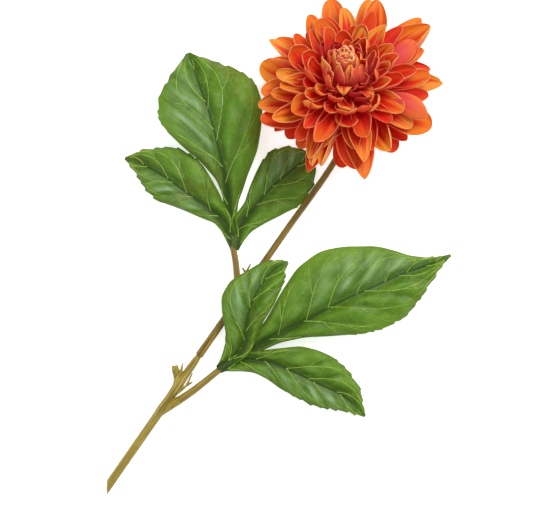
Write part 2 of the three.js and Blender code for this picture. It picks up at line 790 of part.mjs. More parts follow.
// The closed middle of the bloom: petals wrapped round a full core, with the
// curled tips of small florets in its mouth. It leans, and its base is cut level
// with the receptacle's flat top.
function bloomHeart() {
  const core = [
    [0, -4], [HEART_RADIUS - 2, -4], [HEART_RADIUS - 1, 2], [HEART_RADIUS - 0.2, 8],
    [HEART_RADIUS - 1.4, 14], [HEART_RADIUS - 4, 19.4], [3, HEART_HEIGHT - 3.4], [0, HEART_HEIGHT - 3],
  ];
  const wraps = HEART_WRAPS.flatMap((whorl, index) => petalSolids(whorl, index + 8));
  const florets = Array.from({ length: 7 }, (_, i) => {
    const turn = i * 2.4;
    const radius = 1.1 * Math.sqrt(i + 0.5);
    const foot = vec(radius * Math.cos(turn), radius * Math.sin(turn), HEART_HEIGHT - 6);
    return finger([foot, foot.clone().setZ(HEART_HEIGHT + spread(i, 1))], 0.9, 0.45, 1, 5);
  });
  return withoutPockets(joined([turned(core, 12), ...wraps, ...florets]))
    .rotate([-HEART_LEAN, -HEART_SIDE_LEAN, 0])
    .translate(HEART_SEAT.toArray())
    .trimByPlane([0, 0, 1], HEART_SEAT.z);
}

// The green cup behind the petals, with its ring of bracts.
function calyx() {
  const rim = RECEPTACLE_BOTTOM - SEAT_GAP;
  const cup = [
    [0, CALYX_BOTTOM], [2.6, CALYX_BOTTOM], [3.4, -18.5], [5.6, -15],
    [7.6, -12.6], [7.8, rim], [0, rim],
  ];
  return joined([turned(cup, 14), ...petalSolids(BRACTS, 11)]);
}

// ------------------------------------------------------------------ assembly
const bloom = new THREE.Group();
bloom.position.copy(BLOOM_CENTRE);
bloom.rotation.x = -BLOOM_TILT;
bloom.add(
  meshOf("bloom_petals", bloomPetals(), COLOURS.petals),
  meshOf("bloom_heart", bloomHeart(), COLOURS.heart),
  meshOf("calyx", calyx(), COLOURS.calyx),
);

const dahlia = new THREE.Group();
dahlia.add(
  bloom,
  meshOf("stem_lower", lowerStem(), COLOURS.lowerStem),
  meshOf("stem_upper", upperStem(), COLOURS.upperStem),
  meshOf("leaf_stalk_lower", leafStalk("lower"), COLOURS.stalk),
  meshOf("leaf_stalk_upper", leafStalk("upper"), COLOURS.stalk),
  meshOf("leaf_lower", leafBlade("lower"), COLOURS.leaf),
  meshOf("leaf_upper", leafBlade("upper"), COLOURS.leaf),
);

export default dahlia;
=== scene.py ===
"""Looks of a cut dahlia: one open double bloom on a branched stem with two leaves.

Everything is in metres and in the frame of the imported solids. Tables of shapes are
written in millimetres, as a maker would measure them, and scaled where they are used.
"""

import logging
import math
from dataclasses import asdict, dataclass, field
from enum import Enum
from typing import Callable, Sequence, Union

import bmesh
import bpy
import numpy as np
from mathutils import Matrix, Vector


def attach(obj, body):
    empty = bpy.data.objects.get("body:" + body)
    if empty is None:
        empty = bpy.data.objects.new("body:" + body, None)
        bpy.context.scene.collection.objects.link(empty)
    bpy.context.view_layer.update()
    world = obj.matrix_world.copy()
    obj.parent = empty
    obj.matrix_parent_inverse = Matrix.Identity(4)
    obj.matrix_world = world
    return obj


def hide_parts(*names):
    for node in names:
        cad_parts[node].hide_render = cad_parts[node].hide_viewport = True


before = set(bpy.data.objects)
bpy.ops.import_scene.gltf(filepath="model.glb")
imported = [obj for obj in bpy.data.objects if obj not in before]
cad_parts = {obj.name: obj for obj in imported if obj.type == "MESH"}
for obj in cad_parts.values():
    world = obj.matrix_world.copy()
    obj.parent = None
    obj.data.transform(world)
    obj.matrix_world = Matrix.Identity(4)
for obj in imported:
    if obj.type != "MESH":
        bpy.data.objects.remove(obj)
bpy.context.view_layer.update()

log = logging.getLogger("dahlia")

MM = 0.001
TURN = 2 * math.pi
# Steps that never repeat keep the values of neighbouring pieces well apart.
SPREAD_STEPS = (0.618034, 0.754878, 0.31)
SPLINE_STEPS = 40

Keys = Sequence[tuple[float, float]]
Point = Sequence[float]
Place = tuple[float, float, float]
Path = tuple[np.ndarray, np.ndarray]
Colour = tuple[float, float, float, float]
Inputs = dict[Union[int, str], object]


# --- helpers ---
def colour(code: str) -> Colour:
    """Turns a display colour into the linear one that a shader works with.

    Args:
        code: Six hexadecimal digits after a hash sign.

    Returns:
        Linear red, green and blue, and an alpha of one.
    """
    parts = [int(code[i : i + 2], 16) / 255 for i in (1, 3, 5)]
    linear = [p / 12.92 if p <= 0.04045 else ((p + 0.055) / 1.055) ** 2.4 for p in parts]
    return (*linear, 1.0)


def spread(index: int, use: int) -> float:
    """Even spread from -1 to 1, the same each run.

    Args:
        index: Which piece asks.
        use: What the value is for, so that one piece's values differ.

    Returns:
        A value from -1 to 1.
    """
    by_index, by_use, start = SPREAD_STEPS
    step = index * by_index + use * by_use + start
    return 2 * (step - math.floor(step)) - 1


def spline(points: Sequence[Point], shares: np.ndarray) -> np.ndarray:
    """Places points along a smooth curve by the share of its length.

    Args:
        points: What the curve passes through.
        shares: Shares of its length, from 0 to 1.

    Returns:
        One row of three coordinates for each share.
    """
    knots = np.asarray(points, float)
    knots = np.vstack([2 * knots[0] - knots[1], knots, 2 * knots[-1] - knots[-2]])
    fine = []
    t = np.linspace(0, 1, SPLINE_STEPS, endpoint=False)[:, None]
    for p0, p1, p2, p3 in zip(knots, knots[1:], knots[2:], knots[3:]):
        pairs = ((p0, p1), (p1, p2), (p2, p3))
        d0, d1, d2 = (math.sqrt(np.linalg.norm(b - a)) for a, b in pairs)
        m1 = ((p1 - p0) / d0 - (p2 - p0) / (d0 + d1) + (p2 - p1) / d1) * d1
        m2 = ((p2 - p1) / d1 - (p3 - p1) / (d1 + d2) + (p3 - p2) / d2) * d1
        rise, bend = 3 * (p2 - p1) - 2 * m1 - m2, 2 * (p1 - p2) + m1 + m2
        fine.append(p1 + m1 * t + rise * t**2 + bend * t**3)
    line = np.vstack([*fine, knots[-2:-1]])
    run = np.concatenate([[0], np.cumsum(np.linalg.norm(np.diff(line, axis=0), axis=1))])
    return np.column_stack([np.interp(shares * run[-1], run, line[:, k]) for k in range(3)])


def curve_length(points: Sequence[Point]) -> float:
    """Length of the smooth curve through some points."""
    line = spline(points, np.linspace(0, 1, 200))
    return float(np.linalg.norm(np.diff(line, axis=0), axis=1).sum())


def softened(keys: Keys, at: np.ndarray, blur: float = 0.018) -> np.ndarray:
    """Reads a table of values with its corners rounded off.

    Args:
        keys: Pairs of position and value.
        at: Positions to read.
        blur: How far along a corner is rounded.

    Returns:
        One value for each position.
    """
    places, values = zip(*keys)
    offsets = np.linspace(-2, 2, 9)
    read = [np.interp(at + blur * o, places, values) for o in offsets]
    return np.average(read, axis=0, weights=np.exp(-(offsets**2) / 2))


def smooth_step(x: np.ndarray, low: float, high: float) -> np.ndarray:
    """Rises from 0 to 1 between two values, level at both."""
    t = np.clip((x - low) / (high - low), 0, 1)
    return t * t * (3 - 2 * t)


def bell(x: np.ndarray, middle: float, width: float) -> np.ndarray:
    """Swells to 1 at one value and falls off to both sides of it."""
    return np.exp(-(((x - middle) / width) ** 2))


# --- node trees ---
def _applies(operation: str, flipped: bool = False) -> Callable[..., "Field"]:
    """Makes a method that applies one of the Math node's operations.

    Args:
        operation: Name of the operation.
        flipped: Whether the field is its last operand instead of its first.

    Returns:
        The method.
    """

    def method(self: "Field", *others: "Number") -> "Field":
        """Applies the operation to the field and what else it needs."""
        operands = (*others, self) if flipped else (self, *others)
        return self.graph.call("ShaderNodeMath", dict(enumerate(operands)), operation=operation)

    return method


@dataclass(frozen=True, eq=False)
class Field:
    """What a node gives. Where it is a number, ordinary arithmetic works on it."""

    graph: "Graph"
    socket: bpy.types.NodeSocket

    __add__ = __radd__ = _applies("ADD")
    __sub__, __rsub__ = _applies("SUBTRACT"), _applies("SUBTRACT", flipped=True)
    __mul__ = __rmul__ = _applies("MULTIPLY")
    __truediv__, __pow__ = _applies("DIVIDE"), _applies("POWER")
    at_least, at_most = _applies("MAXIMUM"), _applies("MINIMUM")
    sin, cos, exp = _applies("SINE"), _applies("COSINE"), _applies("EXPONENT")
    sqrt, abs, sign = _applies("SQRT"), _applies("ABSOLUTE"), _applies("SIGN")

    def __neg__(self) -> "Field":
        """Opposite."""
        return self * -1.0

    def step(self, low: "Number", high: "Number") -> "Field":
        """Rises from 0 to 1 between two values, level at both."""
        ends = {"Value": self, "From Min": low, "From Max": high}
        return self.graph.call("ShaderNodeMapRange", ends, interpolation_type="SMOOTHSTEP")


Number = Union[float, Field]


def hypot(a: Field, b: Number) -> Field:
    """Length of the long side over two short ones."""
    return (a * a + b * b).sqrt()


def mixed(a: Number, b: Number, share: Field) -> Field:
    """Goes from one value to another by a share."""
    return share * (b - a) + a


class Graph:
    """A node tree while it is being put together."""

    def __init__(self, tree: bpy.types.NodeTree) -> None:
        """Keeps the tree that nodes are added to."""
        self.tree = tree

    def feed(self, socket: bpy.types.NodeSocket, value: object) -> None:
        """Gives an input what a node gives, or a plain value."""
        if isinstance(value, Field):
            self.tree.links.new(value.socket, socket)
        else:
            socket.default_value = value

    def node(self, kind: str, inputs: Inputs, **settings: object) -> bpy.types.Node:
        """Adds a node.

        Args:
            kind: The node's type name.
            inputs: What goes into its inputs, by their names or numbers.
            settings: Properties to set on it.

        Returns:
            The new node.
        """
        made = self.tree.nodes.new(kind)
        for name, value in settings.items():
            setattr(made, name, value)
        for name, value in inputs.items():
            self.feed(made.inputs[name], value)
        return made

    def call(
        self, kind: str, inputs: Inputs, out: Union[int, str] = 0, **settings: object
    ) -> Field:
        """Adds a node and takes one of its outputs.

        Args:
            kind: The node's type name.
            inputs: What goes into its inputs, by their names or numbers.
            out: Name or number of the output.
            settings: Properties to set on it.

        Returns:
            What the node gives there.
        """
        return Field(self, self.node(kind, inputs, **settings).outputs[out])

    def combine(self, x: Number, y: Number, z: Number) -> Field:
        """Makes a vector of three numbers."""
        return self.call("ShaderNodeCombineXYZ", {"X": x, "Y": y, "Z": z})

    def parts(self, vector: Field) -> list[Field]:
        """Takes a vector apart into its three numbers."""
        outputs = self.node("ShaderNodeSeparateXYZ", {0: vector}).outputs
        return [Field(self, out) for out in outputs]

    def vector(self, operation: str, *operands: object) -> Field:
        """Adds a Vector Math node for an operation on its operands."""
        inputs = dict(enumerate(operands))
        return self.call("ShaderNodeVectorMath", inputs, operation=operation)

    def turned(self, vector: Field, axis: str, angle: Number) -> Field:
        """Turns a vector about one of the axes."""
        inputs = {"Vector": vector, "Angle": angle}
        return self.call("ShaderNodeVectorRotate", inputs, rotation_type=axis + "_AXIS")


class ShapeTree(Graph):
    """A Geometry Nodes tree with named inputs that turns a carrier into a shape."""

    def __init__(self, name: str, inputs: dict[str, tuple[str, object]]) -> None:
        """Starts the tree.

        Args:
            name: Name of the tree.
            inputs: Socket type and default for each named input.
        """
        super().__init__(bpy.data.node_groups.new(name, "GeometryNodeTree"))
        face = self.tree.interface
        for label, (kind, default) in ({"Carrier": ("Geometry", None)} | inputs).items():
            socket = face.new_socket(label, in_out="INPUT", socket_type="NodeSocket" + kind)
            if default is not None:
                socket.default_value = default
        face.new_socket("Shape", in_out="OUTPUT", socket_type="NodeSocketGeometry")
        self.entry = self.node("NodeGroupInput", {})
        self.exit = self.node("NodeGroupOutput", {})

    def input(self, name: str) -> Field:
        """One of the tree's named inputs."""
        return Field(self, self.entry.outputs[name])

    def read(self, names: str) -> list[Field]:
        """The numbers that the carrier holds for each of its points, by name."""
        kind = "GeometryNodeInputNamedAttribute"
        return [self.call(kind, {"Name": n}, "Attribute", data_type="FLOAT") for n in names.split()]

    def geometry(self, kind: str, **inputs: object) -> Field:
        """Adds a Geometry Nodes node, whose inputs are named with _ for each space."""
        named = {name.replace("_", " "): value for name, value in inputs.items()}
        return self.call("GeometryNode" + kind, named)

    def stored(self, shape: Field, **values: Number) -> Field:
        """Writes numbers on a shape's points.

        Args:
            shape: The geometry to write on.
            values: The number for each attribute name.

        Returns:
            The geometry with the attributes.
        """
        kind = "GeometryNodeStoreNamedAttribute"
        for name, value in values.items():
            inputs = {"Geometry": shape, "Name": name, "Value": value}
            shape = self.call(kind, inputs, data_type="FLOAT", domain="POINT")
        return shape

    def end(self, shape: Field) -> None:
        """Finishes the tree with real, smooth geometry in its material.

        Args:
            shape: What the tree has made.
        """
        real = self.geometry("RealizeInstances", Geometry=shape)
        smooth = self.call("GeometryNodeSetShadeSmooth", {0: real})
        done = self.geometry("SetMaterial", Geometry=smooth, Material=self.input("Material"))
        self.feed(self.exit.inputs["Shape"], done)

    def grow(self, name: str, carrier: bpy.types.Mesh, **inputs: object) -> bpy.types.Object:
        """Runs the tree on a carrier.

        Args:
            name: Name of the piece.
            carrier: Mesh whose points or edges the shape grows on.
            inputs: Values of the named inputs, with _ for each space.

        Returns:
            The piece, as a plain mesh at the origin.
        """
        host = placed(name + "_carrier", carrier)
        shaper = host.modifiers.new("Shape", "NODES")
        shaper.node_group = self.tree
        for item in self.tree.interface.items_tree:
            key = item.name.replace(" ", "_")
            if item.in_out == "INPUT" and key in inputs:
                shaper[item.identifier] = inputs[key]
        graph = bpy.context.evaluated_depsgraph_get()
        made = bpy.data.meshes.new_from_object(
            host.evaluated_get(graph), preserve_all_data_layers=True, depsgraph=graph
        )
        host.modifiers.remove(shaper)
        bpy.data.objects.remove(host)
        bpy.data.meshes.remove(carrier)
        made.name = name
        return placed(name, made)


# --- meshes ---
def placed(name: str, mesh: bpy.types.Mesh) -> bpy.types.Object:
    """Puts a mesh in the scene as a piece at the origin.

    Args:
        name: Name of the piece.
        mesh: Its mesh.

    Returns:
        The piece.
    """
    piece = bpy.data.objects.new(name, mesh)
    bpy.context.collection.objects.link(piece)
    return piece


def dressed(piece: bpy.types.Object, node: str) -> None:
    """Hangs a finished piece on the root body and hides the solid that it stands for.

    Args:
        piece: The piece.
        node: The solid that it stands for.
    """
    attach(piece, "root")
    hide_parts(node)
    log.info("%s: %d faces", piece.name, len(piece.data.polygons))


def make_mesh(
    name: str, points: Sequence[Point], edges: Sequence[tuple], faces: Sequence[tuple],
    **numbers: Sequence[float],
) -> bpy.types.Mesh:
    """Makes a mesh with smooth faces.

    Args:
        name: Name of the mesh.
        points: Its points, in metres.
        edges: The pairs of points that its loose edges join.
        faces: The points round each face.
        numbers: What each point holds, by attribute name.

    Returns:
        The mesh.
    """
    mesh = bpy.data.meshes.new(name)
    mesh.from_pydata(points, edges, faces)
    mesh.polygons.foreach_set("use_smooth", [True] * len(faces))
    for key, values in numbers.items():
        mesh.attributes.new(key, "FLOAT", "POINT").data.foreach_set("value", values)
    return mesh


def points_mesh(name: str, rows: Sequence[dict[str, float]]) -> bpy.types.Mesh:
    """Makes a carrier with one point for each row of numbers."""
    numbers = {key: [row[key] for row in rows] for key in rows[0]}
    return make_mesh(name, [(0, 0, 0)] * len(rows), [], [], **numbers)


def path_mesh(name: str, paths: Sequence[Path]) -> bpy.types.Mesh:
    """Makes a carrier of open lines whose points hold a radius.

    Args:
        name: Name of the mesh.
        paths: Points and radii of each line, in millimetres.

    Returns:
        The carrier.
    """
    points: list[list[float]] = []
    edges: list[tuple[int, int]] = []
    for line, _ in paths:
        first, last = len(points), len(points) + len(line) - 1
        edges += [(i, i + 1) for i in range(first, last)]
        points += (line * MM).tolist()
    return make_mesh(name, points, edges, [], thick=np.concatenate([r for _, r in paths]) * MM)


def sheet_mesh(name: str, sheets: Sequence[tuple[np.ndarray, np.ndarray, dict]]) -> bpy.types.Mesh:
    """Makes closed sheets from pairs of grids of points.

    Args:
        name: Name of the mesh.
        sheets: For each sheet its upper grid, its lower grid and its attributes,
            in rows and columns.

    Returns:
        The mesh, with its attributes on both faces of each sheet, and face, which is 1
        on the upper ones and -1 on the lower ones.
    """
    points: list[np.ndarray] = []
    faces: list[tuple[int, ...]] = []
    numbers: dict[str, list[np.ndarray]] = {"face": []}
    first = 0
    for upper, lower, layers in sheets:
        rows, columns = upper.shape[:2]
        count = rows * columns
        at = np.arange(count).reshape(rows, columns) + first
        corners = [at[:-1, :-1], at[1:, :-1], at[1:, 1:], at[:-1, 1:]]
        quads = np.stack(corners, axis=-1).reshape(-1, 4)
        faces += [tuple(q) for q in [*quads.tolist(), *(quads[:, ::-1] + count).tolist()]]
        rim = [*at[:-1, 0], *at[-1, :-1], *at[:0:-1, -1], *at[0, :0:-1]]
        for a, b in zip(rim, rim[1:] + rim[:1]):
            faces.append((int(b), int(a), int(a) + count, int(b) + count))
        points += [upper.reshape(-1, 3), lower.reshape(-1, 3)]
        for key, grid in layers.items():
            numbers.setdefault(key, []).extend([grid.ravel(), grid.ravel()])
        numbers["face"] += [np.ones(count), -np.ones(count)]
        first += 2 * count
    joined = {key: np.concatenate(grids).astype(np.float32) for key, grids in numbers.items()}
    return make_mesh(name, (np.vstack(points) * MM).tolist(), [], faces, **joined)


def turned_mesh(
    name: str, outline: Keys, sides: int, place: Callable[[np.ndarray], np.ndarray]
) -> bpy.types.Mesh:
    """Turns an outline about the axis of a frame.

    Args:
        name: Name of the mesh.
        outline: Pairs of radius and height from the bottom up, in millimetres.
        sides: How many faces go round.
        place: Takes points from that frame to the flower's.

    Returns:
        A closed mesh.
    """
    line = spline([(r, 0.0, h) for r, h in outline], np.linspace(0, 1, 6 * len(outline)))
    turns = [TURN * k / sides for k in range(sides)]
    rings = [[(r * math.cos(t), r * math.sin(t), h) for t in turns] for r, _, h in line]
    points = place(np.array(rings).reshape(-1, 3)) * MM
    faces: list[tuple[int, ...]] = []
    for ring in range(0, len(points) - sides, sides):
        for k in range(sides):
            a, b = ring + k, ring + (k + 1) % sides
            faces.append((a, b, b + sides, a + sides))
    faces.append(tuple(range(sides - 1, -1, -1)))
    faces.append(tuple(range(len(points) - sides, len(points))))
    return make_mesh(name, points.tolist(), [], faces)


# --- finishes ---
class Paint(Graph):
    """A material's node tree, with one Principled shader."""

    def __init__(self, name: str, roughness: float) -> None:
        """Starts a material.

        Args:
            name: Name of the material.
            roughness: How matt it is all over.
        """
        self.material = bpy.data.materials.new(name)
        self.material.use_nodes = True
        super().__init__(self.material.node_tree)
        self.tree.nodes.clear()
        self.shader = self.node("ShaderNodeBsdfPrincipled", {"Roughness": roughness})
        self.node("ShaderNodeOutputMaterial", {"Surface": Field(self, self.shader.outputs[0])})
        self.place = self.call("ShaderNodeTexCoord", {}, "Object")

    def read(self, names: str) -> list[Field]:
        """The numbers that the mesh holds on its points, by name."""
        kind = "ShaderNodeAttribute"
        return [self.call(kind, {}, "Fac", attribute_name=name) for name in names.split()]

    def noise(self, vector: Field, scale: float, detail: float = 2.0) -> Field:
        """Soft random variation, about 0.5.

        Args:
            vector: Where to read it.
            scale: How fine it is.
            detail: How many finer layers it has.

        Returns:
            The variation.
        """
        inputs = {"Vector": vector, "Scale": scale, "Detail": detail}
        return self.call("ShaderNodeTexNoise", inputs)

    def coats(self, under: Union[str, Colour, Field], *coats: tuple[object, Number]) -> Field:
        """Lays colours over one another.

        Args:
            under: The first of them.
            coats: Each further one, and the share to which it hides what is under it.

        Returns:
            The colour that shows.
        """
        for over, share in coats:
            lower, upper = (colour(c) if isinstance(c, str) else c for c in (under, over))
            inputs = {"Factor": share, 6: lower, 7: upper}
            under = self.call("ShaderNodeMix", inputs, 2, data_type="RGBA")
        return under

    def stretched(self, heading: float, scale: tuple[float, float, float]) -> Field:
        """Object coordinates turned to a heading about Z, then stretched."""
        return self.vector("MULTIPLY", self.turned(self.place, "Z", -heading), scale)

    def relief(self, height: Field, depth: float, strength: float) -> None:
        """Adds fine relief to the surface.

        Args:
            height: The relief, from 0 to 1.
            depth: Its depth in millimetres.
            strength: How much of it shows.
        """
        inputs = {"Height": height, "Distance": depth * MM, "Strength": strength}
        self.set(Normal=self.call("ShaderNodeBump", inputs))

    def set(self, **values: object) -> None:
        """Feeds the shader's own sockets, with _ for each space in a name."""
        for name, value in values.items():
            self.feed(self.shader.inputs[name.replace("_", " ")], value)


@dataclass(frozen=True)
class PetalFinish:
    """Dyed cloth petals: deep at the root, warm towards the tip, pale at the cut edge, with painted
    shade in each hollow and on the petals sunk round the heart, and a faint emission that paints
    light into their shadows.
    """

    root: str = "#9c0308"
    body: str = "#c4190a"
    shoulder: str = "#cb3a0e"
    tip: str = "#d26416"
    gold: str = "#d4982c"
    rose: str = "#c8484a"
    rim: str = "#f5b07c"
    rim_width: float = 0.4
    roughness: float = 0.55
    glow: float = 0.2
    relief_depth: float = 0.4

    def material(self, name: str) -> bpy.types.Material:
        """Builds the material.

        Args:
            name: Name of the material.

        Returns:
            The material, which reads the petals' own attributes.
        """
        paint = Paint(name, self.roughness)
        along, across, edge, face, number = paint.read("along across edge face number")
        warm, blush, pale = paint.read("warm blush pale")
        streaks = paint.noise(paint.combine(across * 2.4, along * 0.6, number * 3.7), 1.6, 3)
        fine = paint.noise(paint.combine(across * 12, along * 1.1, number * 5.1), 1.5, 3)
        bands = paint.noise(paint.combine(across * 1.5, along * 0.9, number * 9.3), 1.4, 2)
        own = paint.noise(paint.combine(number * 1.73, 0.31, 0.67), 1.0, 0).step(0.3, 0.7)
        # deep is below 0 on the petals sunk round the heart: painted shade that takes them towards
        # the root colour and dims their rose and rim.
        deep, warm = warm.at_most(0.0), warm.at_least(0.0)
        run = along * 0.92 + (streaks - 0.5) * 0.62 + (fine - 0.5) * 0.3
        # The across terms here and in gold_run keep the middle of each petal's hollow deeper red
        # and its margins warmer: painted shade in the hollow.
        run = run + across * across * 0.3 + deep + (own - 0.5) * 0.2
        gold_run = along * 0.85 + (bands - 0.5) * 1.3 + (streaks - 0.5) * 0.35
        gold_run = gold_run + across.abs() * 0.16
        gold = gold_run.step(0.52, 0.86) * warm * along.step(0.15, 0.5)
        rosy = face.step(0.2, -0.2) * 0.35 * along.step(0.2, 0.5) * along.step(0.95, 0.7)
        rosy = rosy.at_least(blush * along.step(0.1, 0.5) * 0.8)
        rosy = rosy * (1 + deep) * (1 - gold * 0.7) * (1 - blush * run.step(0.7, 1.0) * 0.8)
        worn = (bands.step(0.3, 0.6) * 0.65 + 0.35) * mixed(0.45, 1.15, own)
        rim = edge.step(self.rim_width * 1.25, self.rim_width * 0.5)
        rim = rim * along.step(0.1, 0.35) * worn * (1 + deep)
        hue = paint.coats(
            self.root,
            (self.body, run.step(0.12, 0.62)),
            (self.shoulder, run.step(0.5, 0.95) * mixed(0.5, 1.0, warm)),
            (self.tip, run.step(0.68, 1.08) * mixed(0.3, 1.0, warm)),
            (self.gold, gold * 0.85),
            (self.rose, rosy),
            (self.rim, (rim * 0.85).at_least(pale * 0.75)),
        )
        paint.relief(fine * 0.8 + streaks * 0.6, self.relief_depth, 0.7)
        paint.set(Base_Color=hue, Specular_IOR_Level=0.25, Sheen_Weight=0.05)
        paint.set(Subsurface_Weight=0.3, Subsurface_Scale=0.0025, Subsurface_Radius=(1.0, 0.3, 0.1))
        # A faint emission in the root colour paints light into the petals' shadows, filling them
        # with red.
        paint.set(Emission_Color=colour(self.root), Emission_Strength=self.glow)
        return paint.material


@dataclass(frozen=True)
class LeafFinish:
    """Printed cloth leaf: green with a dark valley, mottled, with painted shade between its panels
    and a painted highlight of pale sheen on them.
    """

    blade: str = "#547e1b"
    bright: str = "#739828"
    shade: str = "#2a4405"
    vein: str = "#9ab84e"
    brown: str = "#58520f"
    # Colour of the painted highlight, a pale blue-green sheen.
    satin: str = "#a3c0a2"
    under: str = "#7f9a70"
    roughness: float = 0.42
    brownness: float = 0.35
    cloud_scale: float = 38
    mottle_scale: float = 170
    weave_scale: float = 1500
    relief_depth: float = 0.3

    def material(self, name: str) -> bpy.types.Material:
        """Builds the material of the blades.

        Args:
            name: Name of the material.

        Returns:
            The material, which reads the leaf's own attributes.
        """
        paint = Paint(name, self.roughness)
        along, side, margin, face, bulge, glaze = paint.read("along side margin face bulge glaze")
        cloud = paint.noise(paint.place, self.cloud_scale, 3)
        mottle = paint.noise(paint.place, self.mottle_scale, 3)
        weave = paint.noise(paint.place, self.weave_scale, 2)
        flow = paint.noise(paint.combine(along * 24 - side * 0.3, side * 0.05, face), 1.0, 3)
        # Painted highlight: streaks of pale sheen where the lobe's table puts it.
        highlight_streaks = glaze * (flow * 1.7 + (weave - 0.5) * 0.7).step(0.45, 1.15)
        warp = paint.noise(paint.place, 160, 2) * 0.004
        strands = paint.vector("ADD", paint.place, paint.combine(warp, warp * -0.8, 0.0))
        net = self._net(paint, strands, 170).at_least(self._net(paint, strands, 360) * 0.6)
        net = net * mottle.step(0.3, 0.55) * margin.step(1.0, 0.85)
        valley = mixed(5.0, 1.1, along.step(0.05, 0.6))
        groove = side.step(valley, valley * 0.3) * along.step(1.0, 0.85)
        hue = paint.coats(
            self.blade,
            (self.bright, mottle.step(0.4, 0.75) * 0.4),
            (self.bright, margin.step(0.5, 1.0) * 0.5),
            (self.shade, (1 - bulge) * side.step(40.0, 5.0) * 0.5),
            (self.brown, cloud.step(0.5, 0.36) * self.brownness),
            (self.shade, flow.step(0.5, 0.3) * 0.22),
            (self.satin, highlight_streaks * 0.62),
            (self.vein, net * 0.18),
            (self.shade, groove * 0.9),
            (self.shade, along.step(0.1, 0.0) * 0.6),
            (self.vein, margin.step(0.985, 1.0) * 0.3),
            (self.under, face.step(0.2, -0.2) * 0.6),
        )
        paint.relief(weave * 0.22 + net * 0.35 + mottle * 0.3, self.relief_depth, 0.8)
        paint.set(Base_Color=hue, Roughness=mixed(0.36, 0.5, mottle), Specular_IOR_Level=0.22)
        return paint.material

    def vein_material(self, name: str) -> bpy.types.Material:
        """Builds the material of the veins, paler and yellower than the blade.

        Args:
            name: Name of the material.

        Returns:
            The material.
        """
        paint = Paint(name, self.roughness)
        patches, fine = paint.noise(paint.place, 120, 2), paint.noise(paint.place, 900, 2)
        hue = paint.coats(
            self.vein,
            (self.bright, patches.step(0.35, 0.7) * 0.8),
            (self.blade, fine.step(0.5, 0.7) * 0.5),
        )
        paint.relief(fine, 0.1, 0.5)
        paint.set(Base_Color=hue, Specular_IOR_Level=0.2)
        return paint.material

    def _net(self, paint: Paint, where: Field, scale: float) -> Field:
        """The net of fine veins at one scale.

        Args:
            paint: The material's node tree.
            where: Where to read the net.
            scale: How fine it is.

        Returns:
            1 on a vein and 0 off it.
        """
        inputs = {"Vector": where, "Scale": scale}
        cells = paint.call("ShaderNodeTexVoronoi", inputs, "Distance", feature="DISTANCE_TO_EDGE")
        return cells.step(0.06, 0.0)


@dataclass(frozen=True)
class StemFinish:
    """Moulded stem: softly glossy, with fibres along its heading, in degrees, and dark flecks."""

    body: str
    dark: str
    light: str
    heading: float
    roughness: float = 0.45
    relief_depth: float = 0.5

    def material(self, name: str) -> bpy.types.Material:
        """Builds the material.

        Args:
            name: Name of the material.

        Returns:
            The material, with its fibres along the heading.
        """
        paint = Paint(name, self.roughness)
        heading = math.radians(self.heading)
        fibres = paint.noise(paint.stretched(heading, (45, 900, 900)), 1.0, 3)
        clouds = paint.noise(paint.stretched(heading, (35, 160, 160)), 1.0, 2)
        flecks = paint.noise(paint.stretched(heading, (420, 1100, 1100)), 1.0, 2)
        hue = paint.coats(
            self.body,
            (self.dark, fibres.step(0.42, 0.66) * 0.8),
            (self.light, clouds.step(0.45, 0.75) * fibres.step(0.62, 0.4) * 0.7),
            (self.dark, flecks.step(0.6, 0.75) * 0.6),
        )
        paint.relief(fibres * 0.9 + flecks * 0.35, self.relief_depth, 0.8)
        paint.set(Base_Color=hue, Roughness=mixed(0.36, 0.58, fibres), Specular_IOR_Level=0.4)
        return paint.material


# --- petals ---
class Tone(Enum):
    """How a petal is coloured: how warm, below 0 for deep red that is painted shade on petals sunk
    round the heart, how rosy and how pale.
    """

    DEEP = (-0.7, 0.0, 0.0)
    RED = (0.12, 0.0, 0.0)
    ORANGE = (0.62, 0.0, 0.0)
    GOLD = (1.0, 0.0, 0.0)
    ROSE = (0.25, 1.0, 0.0)
    PEACH = (0.6, 0.3, 1.0)


@dataclass(frozen=True)
class PetalForm:
    """How a petal departs from a plain scoop.

    cup scales its hollow and opens flattens it towards the tip; curl is how far the tip
    bends up, in radians, from bend_at on; roll turns the margins up; rib is the depth
    of its lengthwise ridges; ruffle waves its margins; fold turns one margin over, from
    fold_at outwards; pointed draws the tip out, and widest is where it is broadest.
    """

    cup: float = 1.0
    opens: float = 0.15
    curl: float = 0.25
    bend_at: float = 0.55
    roll: float = 0.16
    rib: float = 0.055
    ruffle: float = 0.09
    fold: float = 0.0
    fold_at: float = 0.55
    pointed: float = 0.0
    widest: float = 0.66


